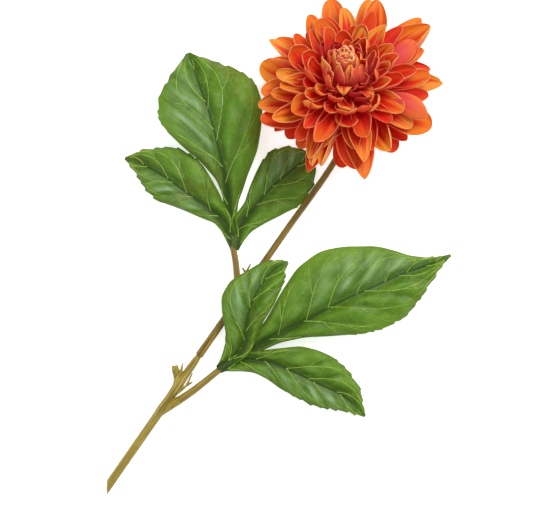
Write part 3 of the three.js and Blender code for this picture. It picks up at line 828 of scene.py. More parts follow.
class Form(Enum):
    """The named forms that petals take."""

    OPEN = PetalForm()
    FLAT = PetalForm(cup=0.7, opens=0.3, curl=0.05, roll=0.15)
    SPOON = PetalForm(
        opens=0.1, curl=0.95, bend_at=0.62, roll=0.1, rib=0.03, ruffle=0.05, widest=0.74
    )
    HOOD = PetalForm(
        opens=0.0, curl=1.7, bend_at=0.74, roll=0.1, rib=0.02, ruffle=0.03, widest=0.78
    )
    ARCHED = PetalForm(cup=-0.9, opens=-0.1, curl=-0.7, roll=0.0, rib=-0.05, ruffle=0.03)
    LEFT_FOLD = PetalForm(cup=0.8, fold=2.5, fold_at=0.3, ruffle=0.1)
    RIGHT_FOLD = PetalForm(cup=0.8, fold=-2.5, fold_at=0.3, ruffle=0.1)
    POINTED = PetalForm(opens=0.0, curl=0.1, pointed=0.6, widest=0.6)
    WAVY = PetalForm(cup=0.8, curl=0.35, ruffle=0.17)
    RIDGED = PetalForm(cup=0.9, curl=0.3, rib=0.15, roll=0.4, pointed=0.3)
    TURNED = PetalForm(cup=0.6, curl=-2.7, bend_at=0.5, roll=0.0, rib=0.03, pointed=0.7)
    FOLDED = PetalForm(
        cup=0.06, opens=0.0, curl=-3.2, bend_at=0.36, roll=0.0, rib=0.0, ruffle=0.02,
        pointed=0.9, widest=0.45,
    )
    WRAP = PetalForm(curl=0.6, bend_at=0.6, roll=0.1, rib=0.04, ruffle=0.07, widest=0.32)
    FURROWED = PetalForm(cup=0.8, curl=0.6, rib=0.26, roll=0.45, pointed=0.2)
    TORN = PetalForm(cup=0.6, curl=0.5, ruffle=0.3, rib=0.12, pointed=0.7)
    FINGER = PetalForm(
        cup=1.1, opens=0.1, curl=0.55, bend_at=0.35, roll=0.1, rib=0.02, pointed=0.1
    )
    CURLED = PetalForm(cup=1.1, curl=2.0, bend_at=0.45, roll=0.2, rib=0.0, ruffle=0.1)
    TUBE = PetalForm(
        cup=2.5, curl=0.5, roll=0.0, rib=0.0, ruffle=0.05, pointed=-0.4, widest=0.93
    )
    LID = PetalForm(curl=1.9, bend_at=0.42, roll=0.05, rib=0.04, ruffle=0.06, widest=0.6)
    HOOK = PetalForm(cup=0.6, curl=2.4, bend_at=0.45, roll=0.0, rib=0.0, pointed=0.3)


# Short names for the tables of petals, in the order of the two lists above.
D, R, O, G, P, PEACH = Tone
(
    OPEN, FLAT, SPOON, HOOD, ARCHED, LEFT_FOLD, RIGHT_FOLD, POINTED, WAVY, RIDGED, TURNED,
    FOLDED, WRAP, FURROWED, TORN, FINGER, CURLED, TUBE, LID, HOOK,
) = Form


@dataclass(frozen=True)
class Petal:
    """One petal: its tip's direction in degrees and reach, and its half width."""

    azimuth: float
    reach: float
    half_width: float
    tone: Tone
    form: Form
    raised: float = 0.0


def petals(*rows: tuple) -> tuple[Petal, ...]:
    """Petals from rows that hold their values in order."""
    return tuple(Petal(*row) for row in rows)


def even_ring(
    count: int, start: float, reach: float, half_width: float, tone: Tone, form: Form
) -> list[tuple]:
    """Rows of petals at even turns.

    Args:
        count: How many.
        start: Direction of the first, in degrees.
        reach: How far each reaches.
        half_width: Half the width of each.
        tone: How they are dyed.
        form: Their form.

    Returns:
        Their values in order.
    """
    turns = [start + 360 / count * i for i in range(count)]
    return [(turn, reach, half_width, tone, form) for turn in turns]


@dataclass(frozen=True)
class Whorl:
    """Petals that leave the same height of the receptacle.

    root is the radius and height where midribs start, and tip_height is where they end.
    lift is the slope at which they start, cup half the angle that a petal's hollow
    spans, lean how far the whorl leans towards +Y, and slimmed what the half widths in
    the table are scaled by. Angles are in degrees but cup. number seeds the spread.
    """

    number: int
    root: tuple[float, float]
    tip_height: float
    lift: float
    cup: float
    petals: tuple[Petal, ...]
    lean: float = 0.0
    slimmed: float = 0.9
    seeds_apart = 17

    def rows(self) -> list[dict[str, float]]:
        """The numbers that each petal's point holds.

        Returns:
            One row for each petal, in metres and radians.
        """
        made = []
        for n, petal in enumerate(self.petals, self.number * self.seeds_apart):
            form = petal.form.value
            warm, blush, pale = petal.tone.value
            own = {
                "azimuth": math.radians(petal.azimuth),
                "root_reach": self.root[0] * MM,
                "root_height": (self.root[1] + 0.7 * spread(n, 1)) * MM,
                "tip_reach": (petal.reach + 0.4 * spread(n, 2)) * MM,
                "tip_height": (self.tip_height + petal.raised + 2 * spread(n, 3)) * MM,
                "lift": math.radians(self.lift + 4 * spread(n, 4)),
                "half_width": petal.half_width * self.slimmed * MM,
                "cup": self.cup * (1 + 0.15 * spread(n, 5)) * form.cup,
                "twist": 0.5 * spread(n, 6),
                "lean": math.radians(self.lean),
                "curl": form.curl * (1 + 0.2 * spread(n, 7)) + 0.12 * spread(n, 12),
                "rib": form.rib * (1 + 0.4 * spread(n, 13)),
                "ruffle_start": 3.0 * spread(n, 8),
                "sweep": 0.18 * spread(n, 9),
                "pointed": form.pointed + 0.15 * spread(n, 10),
                "widest": form.widest + 0.05 * spread(n, 14),
                "warm": min(1.0, warm + 0.15 * spread(n, 11)),
                "blush": blush,
                "pale": pale,
                "number": float(n),
            }
            made.append(asdict(form) | own)
        return made


class PetalTree(ShapeTree):
    """Grows a closed petal on each point of a carrier.

    CLAW_SHARE is how wide a petal is at its root, and BOW how far its midrib runs
    straight out before it bends. ROW_CROWDING and COLUMN_CROWDING draw a petal's points
    to its end and its margins. Folds turn over FOLD_SOFTNESS of its width, and margins
    roll up from MARGIN_START on, over MARGIN_WIDTH. RIBS ridges and a groove of
    GROOVE_SHARPNESS run along it, and its ruffles follow RUFFLE_WAVES along and across.
    THINNING rounds off its margins, its tip and its root. Below FLOOR_CLEARANCE petals
    bend to lie on the floor, over the height of FLOOR_SOFTNESS. STRAIGHT is a curl too
    slight to see, and points closer than SAME_POINT are merged.
    """

    CLAW_SHARE = 0.3
    BOW = 0.5
    ROW_CROWDING = 1.5
    COLUMN_CROWDING = 1.6
    FOLD_SOFTNESS = 0.06
    MARGIN_START = 0.55
    MARGIN_WIDTH = 0.45
    RIBS = 3
    GROOVE_SHARPNESS = 90
    RUFFLE_WAVES = (9, 1.5)
    THINNING = (12, 20, 30)
    FLOOR_SOFTNESS = 1.6 * MM
    FLOOR_CLEARANCE = 0.55 * MM
    STRAIGHT = 1e-4
    SAME_POINT = 1e-7

    def __init__(self) -> None:
        """Builds the tree."""
        super().__init__(
            "petals",
            {
                "Rows": ("Int", 20),
                "Columns": ("Int", 17),
                "Thickness": ("Float", 0.55 * MM),
                "Seat Turn": ("Vector", (0.0, 0.0, 0.0)),
                "Seat": ("Vector", (0.0, 0.0, 0.0)),
                "Tilt": ("Float", 0.0),
                "Centre": ("Vector", (0.0, 0.0, 0.0)),
                "Material": ("Material", None),
            },
        )
        sheet = self._blank()
        cloud = self.geometry("InstanceOnPoints", Points=self.input("Carrier"), Instance=sheet)
        cloud = self.geometry("RealizeInstances", Geometry=cloud)
        self.along, self.across, self.root_r, self.root_h, self.tip_r, self.tip_h = self.read(
            "along across root_reach root_height tip_reach tip_height"
        )
        self.length = hypot(self.tip_r - self.root_r, self.tip_h - self.root_h)
        self.width = self._half_width()
        side = self.width * (1 - self.across.abs())
        edge = side.at_most(self.length * (1 - self.along)) * (1 / MM)
        cloud = self.stored(cloud, edge=edge)
        cloud = self.geometry("SetPosition", Geometry=cloud, Position=self._middle())
        self.end(self._thickened(cloud))

    def _blank(self) -> Field:
        """A flat sheet whose points know how far along and across the petal they are.

        Returns:
            The sheet, with its points crowded towards its end and its margins.
        """
        rows, columns = self.input("Rows"), self.input("Columns")
        grid = self.geometry("MeshGrid", Vertices_X=columns, Vertices_Y=rows)
        x, y, _ = self.parts(self.geometry("InputPosition"))
        share = 1 - (0.5 - y).at_least(0.0) ** self.ROW_CROWDING
        side = -(x * 2)
        crowded = (1 - (1 - side.abs()).at_least(0.0) ** self.COLUMN_CROWDING) * side.sign()
        return self.stored(grid, along=share, across=crowded)

    def _half_width(self) -> Field:
        """Half the petal's width where a point is.

        Returns:
            The width, in metres.
        """
        u = self.along
        widest, pointed, half_width = self.read("widest pointed half_width")
        opening = ((u / widest).at_most(1.0) * (math.pi / 2)).sin()
        past = ((u - widest) / (1 - widest)).at_least(0.0)
        closing = (1 - past ** (2.2 - pointed * 0.8)).at_least(0.0) ** (0.5 + pointed * 0.4)
        return half_width * mixed(self.CLAW_SHARE, 1.0, opening) * closing

    def _middle(self) -> Field:
        """Where each point of a petal's middle surface lies.

        Returns:
            The position, in the flower's frame.
        """
        u, rest = self.along, 1 - self.along
        lift, bend_at, curl, heading = self.read("lift bend_at curl azimuth")
        bend_r = self.root_r + self.length * self.BOW * lift.cos()
        bend_h = self.root_h + self.length * self.BOW * lift.sin()
        spine_r = rest * rest * self.root_r + u * rest * 2 * bend_r + u * u * self.tip_r
        spine_h = rest * rest * self.root_h + u * rest * 2 * bend_h + u * u * self.tip_h
        slope_r = rest * (bend_r - self.root_r) + u * (self.tip_r - bend_r)
        slope_h = rest * (bend_h - self.root_h) + u * (self.tip_h - bend_h)
        steep = hypot(slope_r, slope_h)
        slope_r, slope_h = slope_r / steep, slope_h / steep

        past = ((u - bend_at) / (1 - bend_at)).at_least(0.0)
        turn = curl * past + self.STRAIGHT
        run = self.length * (1 - bend_at) * past
        ahead = run * (turn.sin() / turn - 1)
        raised = run * (1 - turn.cos()) / turn
        spine_r = spine_r + slope_r * ahead - slope_h * raised
        spine_h = spine_h + slope_h * ahead + slope_r * raised
        normal_r = -(slope_h * turn.cos()) - slope_r * turn.sin()
        normal_h = slope_r * turn.cos() - slope_h * turn.sin()

        aside, above = self._across()
        out = spine_r + above * normal_r
        up = spine_h + above * normal_h
        x = out * heading.cos() - aside * heading.sin()
        y = out * heading.sin() + aside * heading.cos()
        return self._settled(self.combine(x, y, up))

    def _across(self) -> tuple[Field, Field]:
        """A petal's cross section: the hollow, its ridges, rolled margins and folds.

        Returns:
            How far a point is aside of the midrib and above it.
        """
        u, v, width = self.along, self.across, self.width
        hollow, opens, fold, fold_at, rolled = self.read("cup opens fold fold_at roll")
        rib, ruffle, ruffle_start, sweep, twisted = self.read("rib ruffle ruffle_start sweep twist")
        cup = hollow * (1 - opens * u * u)
        radius = width / cup.sin()
        aside = radius * (cup * v).sin()
        above = radius * (1 - (cup * v).cos())

        turned = fold * u.step(0.25, 0.7)
        beyond = v * turned.sign() - fold_at
        flap = (beyond + hypot(beyond, self.FOLD_SOFTNESS)) * 0.5 * width
        flap = flap * turned.abs().step(0.0, 0.2)
        aside = aside - flap * turned.sign() * (1 - turned.cos())
        above = above + flap * turned.abs().sin()

        margin = ((v.abs() - self.MARGIN_START) / self.MARGIN_WIDTH).at_least(0.0)
        roll = rolled * u.step(0.0, 0.4)
        above = above + roll * width * margin * margin
        aside = aside - roll * width * 0.35 * margin * margin * margin * v.sign()

        belly = (u * math.pi).sin().at_least(0.0)
        above = above - rib * width * (v * (self.RIBS * math.pi)).cos() * belly
        groove = (v * v * -self.GROOVE_SHARPNESS).exp()
        above = above - rib.abs() * width * 1.2 * groove * belly
        wave = (u * self.RUFFLE_WAVES[0] + v * self.RUFFLE_WAVES[1] + ruffle_start).sin()
        above = above + ruffle * width * v * v * wave * 1.6
        aside = aside + sweep * self.length * u * u

        twist = twisted * u
        return (
            aside * twist.cos() - above * twist.sin(),
            aside * twist.sin() + above * twist.cos(),
        )

    def _settled(self, point: Field) -> Field:
        """Takes a point from the whorl's frame to the flower's, and bends it to the floor.

        Args:
            point: The position in the whorl's frame.

        Returns:
            The position in the flower's frame.
        """
        (lean,) = self.read("lean")
        leant = self.turned(point, "X", -lean)
        inputs = {"Vector": leant, "Rotation": self.input("Seat Turn")}
        seated = self.call("ShaderNodeVectorRotate", inputs, rotation_type="EULER_XYZ")
        seated = self.vector("ADD", seated, self.input("Seat"))
        tilted = self.turned(seated, "X", -self.input("Tilt"))
        x, y, z = self.parts(self.vector("ADD", tilted, self.input("Centre")))
        above = z - self.FLOOR_CLEARANCE
        settled = (above + hypot(above, self.FLOOR_SOFTNESS)) * 0.5 + self.FLOOR_CLEARANCE
        return self.combine(x, y, settled)

    def _thickened(self, sheet: Field) -> Field:
        """Gives petals two faces that meet in a rounded margin.

        Args:
            sheet: Their middle surfaces.

        Returns:
            The closed petals.
        """
        at_margin, at_tip, at_root = (
            (1 - place**power).at_least(0.0).sqrt()
            for place, power in zip((self.across.abs(), self.along, 1 - self.along), self.THINNING)
        )
        half = self.input("Thickness") * 0.5 * (at_margin * at_tip * at_root)
        normal = self.geometry("InputNormal")
        join = self.node("GeometryNodeJoinGeometry", {})
        for face in (1.0, -1.0):
            inputs = {0: normal, "Scale": half * face}
            offset = self.call("ShaderNodeVectorMath", inputs, operation="SCALE")
            shell = self.geometry("SetPosition", Geometry=sheet, Offset=offset)
            shell = self.stored(shell, face=face)
            if face < 0:
                shell = self.geometry("FlipFaces", Mesh=shell)
            self.feed(join.inputs[0], shell)
        joined = Field(self, join.outputs[0])
        return self.geometry("MergeByDistance", Geometry=joined, Distance=self.SAME_POINT)


# --- bloom ---
@dataclass
class BloomPlace:
    """Where the bloom sits, and the tilt of its axis towards +Y."""

    centre: Place = (43.5, 100.5, 31.0)
    tilt: float = 20.0

    def inputs(self) -> dict[str, object]:
        """The petal tree's inputs that place a whorl."""
        return {"Tilt": math.radians(self.tilt), "Centre": tuple(c * MM for c in self.centre)}

    def place(self, points: np.ndarray) -> np.ndarray:
        """Takes points from the bloom's frame to the flower's.

        Args:
            points: Their coordinates, in millimetres.

        Returns:
            The coordinates in the flower's frame.
        """
        c, s = math.cos(math.radians(self.tilt)), math.sin(math.radians(self.tilt))
        x, y, z = np.moveaxis(points, -1, 0)
        return np.stack([x, y * c + z * s, z * c - y * s], axis=-1) + np.asarray(self.centre)


BLOOM_WHORLS = {
    f"petals_whorl_{whorl.number + 1}": whorl
    for whorl in (
        Whorl(0, (8, -9), -17, -4, 0.35, petals(*even_ring(11, 12, 47, 9, R, OPEN)), slimmed=1),
        Whorl(
            1, (9.2, -7), -13, 3, 0.4, slimmed=1, petals=petals(
                (7, 60, 8, G, WAVY), (53, 72, 7.5, O, OPEN), (70, 68, 9.5, G, WAVY),
                (102, 62, 6.5, P, OPEN), (106, 68, 6, G, POINTED), (136, 60, 7.5, O, OPEN),
                (165, 61, 9.5, G, SPOON), (-159, 52, 7, R, RIDGED), (-133, 47, 7, O, OPEN),
                (-69, 46, 7, R, OPEN), (-44, 48, 7, R, RIDGED), (-14, 52, 7, O, OPEN),
                (28, 56, 7, R, RIDGED), (86, 56, 7, R, RIDGED), (120, 50, 6, R, OPEN),
                (-178, 52, 6, O, WAVY),
            ),
        ),
        Whorl(
            2, (10.6, -4), -5, 9, 0.45, slimmed=0.98, petals=petals(
                (12, 61, 8.5, G, POINTED), (26, 56, 7, O, RIDGED), (40, 69, 11, O, FURROWED),
                (64, 65, 9.5, O, RIDGED), (98, 65, 9, O, OPEN), (150, 60, 8, G, TORN),
                (177, 56, 8.5, O, SPOON), (-167, 59, 9, O, RIDGED), (-148, 59, 10.5, R, SPOON),
                (-118, 61, 7.5, R, POINTED), (-105, 57, 7.5, G, LEFT_FOLD),
                (-92, 54, 9.5, R, OPEN), (-81, 61, 10, O, POINTED), (-53, 49, 9, G, FURROWED),
                (-33, 59, 11, O, SPOON), (-5, 52, 7.5, R, RIDGED), (80, 55, 7, R, OPEN),
                (118, 49, 7, R, OPEN), (134, 48, 6.5, O, RIDGED),
            ),
        ),
        Whorl(
            3, (11.2, -1), 4, 20, 0.55, petals=petals(
                (3, 53, 8.5, O, SPOON), (76, 52, 6.5, R, SPOON), (86, 54, 6.5, G, OPEN),
                (116, 49, 6, G, RIDGED), (125, 53, 8, O, SPOON), (158, 52, 6.5, O, LEFT_FOLD),
                (-149, 57, 8, G, FURROWED), (-123, 57, 7.5, O, RIDGED),
                (-114, 60, 7, G, LEFT_FOLD), (-107, 46, 6, O, RIGHT_FOLD),
                (-90, 44, 8, O, RIDGED), (-79, 55, 8.5, O, POINTED), (-64, 46, 9, R, RIDGED),
                (-38, 49, 8, G, FLAT), (-168, 50, 7.5, O, RIDGED), (24, 52, 7, R, OPEN),
                (48, 53, 7, R, RIDGED), (142, 48, 6.5, R, SPOON), (102, 50, 6.5, R, OPEN),
                (173, 47, 6, G, OPEN), (-17, 51, 7, R, OPEN), (-133, 50, 6.5, R, OPEN),
            ),
        ),
        Whorl(
            4, (11.6, 2), 13, 24, 0.7, lean=3, petals=petals(
                (-166, 43, 8, O, OPEN), (-149, 45, 9, O, SPOON), (-113, 53, 8.5, R, RIDGED),
                (-97, 39, 8, O, SPOON), (-35, 41, 9.5, O, FLAT), (-22, 55, 7.5, P, ARCHED, 4),
                (27, 51, 8.5, P, ARCHED, 4), (58, 45, 8, G, POINTED), (92, 38, 7, R, SPOON),
                (110, 47, 8, O, SPOON), (154, 46, 9, R, SPOON), (176, 44, 5, G, TORN),
                (-130, 45, 7, R, RIDGED), (-70, 42, 8, R, OPEN), (4, 44, 7.5, R, RIDGED),
                (75, 42, 6.5, O, SPOON), (132, 42, 6.5, R, OPEN), (-52, 41, 6.5, R, OPEN),
            ),
        ),
        Whorl(
            5, (11.6, 4), 20, 28, 0.8, lean=6, petals=petals(
                (-168, 33, 6, R, SPOON), (-132, 38, 7, O, HOOD, -2), (-98, 33, 8, R, SPOON),
                (-72, 32, 7, R, HOOD, -2), (-46, 32, 7.5, O, SPOON), (-12, 36, 7.5, R, OPEN),
                (20, 36, 7, R, WAVY), (66, 34, 6, G, POINTED), (94, 34, 6.5, R, SPOON),
                (119, 35, 7, R, OPEN), (151, 35, 7.5, R, SPOON), (-116, 35, 6, R, OPEN),
                (44, 34, 6, O, OPEN), (-150, 36, 6, O, SPOON),
            ),
        ),
        Whorl(
            6, (11.2, 5.2), 24, 38, 0.9, lean=10, petals=petals(
                (-167, 30, 5.5, R, SPOON), (-146, 29, 5.5, O, HOOD, -3),
                (-96, 33, 6, O, HOOD, -8), (-30, 29, 5.5, O, POINTED), (-7, 26, 5, R, OPEN),
                (10, 29, 4.5, G, FINGER), (32, 24, 5.5, P, OPEN), (62, 26, 6, O, RIDGED),
                (83, 26, 5.5, R, SPOON, -2), (108, 26, 5.5, D, SPOON, -3),
                (171, 31, 5.5, R, SPOON), (-118, 28, 6, R, SPOON, -2), (-64, 27, 6, D, SPOON, -3),
                (140, 28, 5.5, D, SPOON, -2),
            ),
        ),
        Whorl(
            7, (10.6, 5.8), 27, 52, 0.85, lean=13, petals=petals(
                (-78, 24, 5, D, SPOON, -5), (-50, 22, 4.4, O, TURNED, -6),
                (166, 20, 4.5, G, FINGER), (-166, 20, 4, P, FINGER), (47, 22, 4.5, R, OPEN),
                (4, 22, 5.5, P, SPOON), (130, 21, 4.5, D, SPOON, -5), (85, 22, 4.5, R, OPEN, -4),
                (66, 21, 4.5, O, FINGER), (-15, 21, 4.5, R, SPOON), (108, 21, 4.5, D, OPEN, -5),
                (-142, 21, 4.5, R, SPOON, -2), (150, 22, 4, D, OPEN, -3), (25, 21, 4.5, P, OPEN),
            ),
        ),
        Whorl(
            12, (8.6, 6.5), 17, 58, 0.8, petals=petals(
                (-158, 17, 3, G, TURNED), (-30, 17, 3.4, O, TURNED), (-68, 17, 5, D, SPOON, -1),
                (-138, 15, 4.6, R, OPEN), (-116, 17, 5, D, OPEN, -2), (-90, 18, 5, D, OPEN, -4),
                (-48, 17, 5, R, OPEN, -2), (-12, 16, 5, D, OPEN),
                *even_ring(8, 0, 15, 4.6, D, OPEN)[:5],
            ),
        ),
        Whorl(
            13, (10, 6), 34, 68, 0.7, lean=13, slimmed=1, petals=petals(
                (118, 20, 1.1, PEACH, HOOK), (132, 19, 1.0, PEACH, HOOK, -1),
                (140, 18, 1.1, PEACH, HOOK, -4), (104, 17.5, 1.1, PEACH, HOOK),
                (109, 20, 0.9, PEACH, HOOK, 1), (127, 21.5, 0.9, PEACH, HOOK, -2),
                (150, 17, 1.0, PEACH, HOOK, 1), (97, 21, 0.9, PEACH, HOOK, -2),
            ),
        ),
    )
}


HEART_WHORLS = {
    "heart_fingers": Whorl(
        8, (11.5, 0.5), 18.5, 84, 0.95, slimmed=1, petals=petals(
            (-173, 16.5, 5, G, FINGER, 1), (-152, 12.4, 2.4, P, FINGER, -1),
            (-20, 12.4, 4.6, P, SPOON, -3), (8, 13, 4.5, R, OPEN, 1), (34, 13, 4.5, O, OPEN),
            (64, 12.5, 4.5, D, OPEN, -1), (96, 12.5, 4.5, D, OPEN, -2),
            (126, 13, 4.5, D, OPEN, -1), (154, 13, 4, R, OPEN), (-98, 13.6, 5.3, G, FOLDED, -1.5),
        ),
    ),
    "heart_foot": Whorl(
        15, (9.2, -0.5), 6, 58, 0.85, slimmed=1, petals=petals(
            (-132, 15, 4.6, D, SPOON), (-106, 14.5, 4, D, OPEN), (-76, 15, 4.6, D, SPOON, -1),
            (-44, 16.5, 6, D, SPOON), (-14, 15, 4.6, R, OPEN),
            *even_ring(6, 16, 14, 4.6, D, OPEN)[:4], (-164, 14, 4.4, D, OPEN),
        ),
    ),
    "heart_wraps": Whorl(
        9, (9, 1), 22, 86, 0.8, slimmed=1, petals=petals(
            (-143, 9, 3.6, G, FINGER, -0.5), (-116, 7.8, 3.8, P, WRAP, -2),
            (-82, 7, 3.8, G, WRAP, -0.5), (-84, 10, 3.6, O, WRAP, -9),
            (-42, 9.6, 5, P, WRAP, -3.5), (-8, 8.6, 4.4, O, WRAP, -1), (34, 8, 4.8, P, OPEN),
            (76, 8, 4.8, G, OPEN, 1), (118, 8, 4.8, P, OPEN), (160, 8, 4.6, O, OPEN),
        ),
    ),
    "heart_tubes": Whorl(
        10, (4.6, 9), 24, 86, 1.0, slimmed=1, petals=petals(
            (-128, 3.4, 1.9, P, TUBE, -1), (-62, 4.6, 1, G, TUBE), (-30, 8.6, 2.4, P, TUBE, -3),
            (40, 3, 1, P, TUBE, 1), (-158, 7.6, 1.1, O, TUBE, -2), (104, 5.4, 1.3, G, TUBE),
            (-108, 5, 1, P, TUBE, -1.5), (12, 7, 1.2, PEACH, TUBE, -1),
            (140, 6.8, 1.1, P, TUBE, -1), (66, 6.4, 1.2, G, TUBE, -0.5),
        ),
    ),
    "heart_curls": Whorl(
        11, (4, 10), 25, 84, 1.0, slimmed=1, petals=petals(
            (58, 7, 6.4, G, LID, -1), (-130, 5, 1.4, G, CURLED), (-88, 4.2, 1.2, PEACH, CURLED),
            (-38, 6.6, 1.4, P, CURLED, -1), (-4, 5, 1.3, P, CURLED), (128, 7.4, 2, G, CURLED, 1),
            (20, 9, 1.6, P, CURLED), (150, 7.6, 1.5, PEACH, HOOK),
        ),
    ),
    "heart_pips": Whorl(
        14, (1.8, 12), 24, 88, 1.1, petals(*even_ring(5, 20, 2, 1.3, R, CURLED)), slimmed=1,
    ),
}

CALYX_WHORLS = {
    "calyx_bracts": Whorl(
        11, (6, -12.6), -19, -2, 0.4, petals(*even_ring(8, 12, 20, 4.4, O, POINTED))
    ),
}


@dataclass
class BloomPart:
    """Whorls of petals round a body that is turned about the same axis.

    slot is not used. node is the solid that its pieces stand for, and cloth names
    their material. whorls are the petals by piece name, and rows and columns how finely
    each petal is divided. body names the turned piece, outline is its radii and heights
    from the bottom up, and sides how many faces go round it. seat moves the part in the
    bloom's frame, and lean and side_lean turn it there, in degrees.
    """

    place: BloomPlace
    tree: PetalTree
    slot: str
    node: str
    cloth: str
    finish: PetalFinish
    whorls: dict[str, Whorl]
    body: str
    outline: Keys
    sides: int
    rows: int
    columns: int
    thickness: float
    seat: Place = (0.0, 0.0, 0.0)
    lean: float = 0.0
    side_lean: float = 0.0

    def _place(self, points: np.ndarray) -> np.ndarray:
        """Takes points from the part's frame to the flower's.

        Args:
            points: Their coordinates, in millimetres.

        Returns:
            The coordinates in the flower's frame.
        """
        a, b = math.radians(-self.lean), math.radians(-self.side_lean)
        x, y, z = np.moveaxis(points, -1, 0)
        y, z = y * math.cos(a) - z * math.sin(a), y * math.sin(a) + z * math.cos(a)
        x, z = x * math.cos(b) + z * math.sin(b), z * math.cos(b) - x * math.sin(b)
        return self.place.place(np.stack([x, y, z], axis=-1) + np.asarray(self.seat))

    def build(self) -> list[bpy.types.Object]:
        """Makes and dresses the petals and the body.

        Returns:
            Its pieces.
        """
        cloth = self.finish.material(self.cloth)
        made = [
            self.tree.grow(
                name,
                points_mesh(name + "_points", whorl.rows()),
                Rows=self.rows,
                Columns=self.columns,
                Thickness=self.thickness * MM,
                Seat_Turn=(math.radians(-self.lean), math.radians(-self.side_lean), 0.0),
                Seat=tuple(s * MM for s in self.seat),
                Material=cloth,
                **self.place.inputs(),
            )
            for name, whorl in self.whorls.items()
        ]
        turned = turned_mesh(self.body, self.outline, self.sides, self._place)
        turned.materials.append(cloth)
        made.append(placed(self.body, turned))
        for piece in made:
            dressed(piece, self.node)
        return made


@dataclass
class Bloom(BloomPart):
    """The open whorls of petals on their receptacle."""

    slot: str = "petals"
    node: str = "bloom_petals"
    cloth: str = "petal_cloth"
    finish: PetalFinish = PetalFinish()
    whorls: dict[str, Whorl] = field(default_factory=lambda: BLOOM_WHORLS)
    body: str = "receptacle"
    outline: Keys = (
        (0.3, -11), (7.5, -11), (11.4, -8.5), (13.4, -4), (13.4, 2), (13, 5.5), (11.8, 8.7),
        (0.3, 8.7),
    )
    sides: int = 48
    rows: int = 24
    columns: int = 21
    thickness: float = 0.5


@dataclass
class Heart(BloomPart):
    """The closed middle of the bloom: fingers, foot, wraps and florets round a core."""

    slot: str = "bud"
    node: str = "bloom_heart"
    cloth: str = "bud_cloth"
    finish: PetalFinish = PetalFinish(
        root="#a20a0c", body="#c42c14", shoulder="#d45226", tip="#dc7826", gold="#d49c36",
        rose="#cf5044", rim="#fabc90", rim_width=0.5,
    )
    whorls: dict[str, Whorl] = field(default_factory=lambda: HEART_WHORLS)
    body: str = "heart_core"
    outline: Keys = ((0.3, 0.5), (7.0, 0.5), (7.6, 3), (7.2, 8), (6, 13), (4, 16), (0.3, 17))
    sides: int = 40
    rows: int = 20
    columns: int = 15
    thickness: float = 0.5
    seat: Place = (-0.8, 2.0, 9.0)
    lean: float = 16.0
    side_lean: float = 5.0


@dataclass
class Calyx(BloomPart):
    """The green cup behind the petals, with its bracts."""

    slot: str = "calyx"
    node: str = "calyx"
    cloth: str = "calyx_cloth"
    finish: PetalFinish = PetalFinish(
        root="#4f7a2c", body="#5f8f37", shoulder="#6c9a3c", tip="#7ba544", gold="#98b85a",
        rose="#6f9a4c", rim="#a8c070", rim_width=0.3,
    )
    whorls: dict[str, Whorl] = field(default_factory=lambda: CALYX_WHORLS)
    body: str = "calyx_cup"
    outline: Keys = (
        (0.3, -21), (2.6, -21), (3.4, -18.5), (5.6, -15), (7.6, -12.6), (7.8, -11.3), (0.3, -11.3),
    )
    sides: int = 32
    rows: int = 16
    columns: int = 13
    thickness: float = 0.7


# --- leaves ---
@dataclass(frozen=True)
class Lobe:
    """One lobe of a leaf, drawn round its midrib.

    number tells the lobes of a leaf apart. midrib is its points, and left and right are
    its half widths at shares of its length. teeth says from which share on the left and
    right margins are toothed, and veins gives, for left and right, the pitch of the
    side veins along the midrib and how far they run forward. fold lifts both halves off
    the midrib, and droop lets their margins fall again. The pair after droop is the share
    of the length where a painted highlight of pale sheen lies on the face, and on which
    side: 1 for the left and -1 for the right. brow is how far the panels between veins
    stand up.
    """

    number: int
    midrib: tuple[Place, ...]
    left: Keys
    right: Keys
    teeth: tuple[float, float]
    veins: tuple[tuple[float, float], tuple[float, float]]
    fold: float
    droop: float
    glaze: tuple[float, float]
    brow: float = 1.0

    @property
    def length(self) -> float:
        """Length of the midrib."""
        return curve_length(self.midrib)


WIDTH_SHARES = (0, 0.08, 0.16, 0.25, 0.35, 0.45, 0.55, 0.65, 0.75, 0.85, 0.93, 1)


def widths(*values: float) -> Keys:
    """Pairs a lobe's half widths with the shares of its length that they belong to."""
    return tuple(zip(WIDTH_SHARES, values))


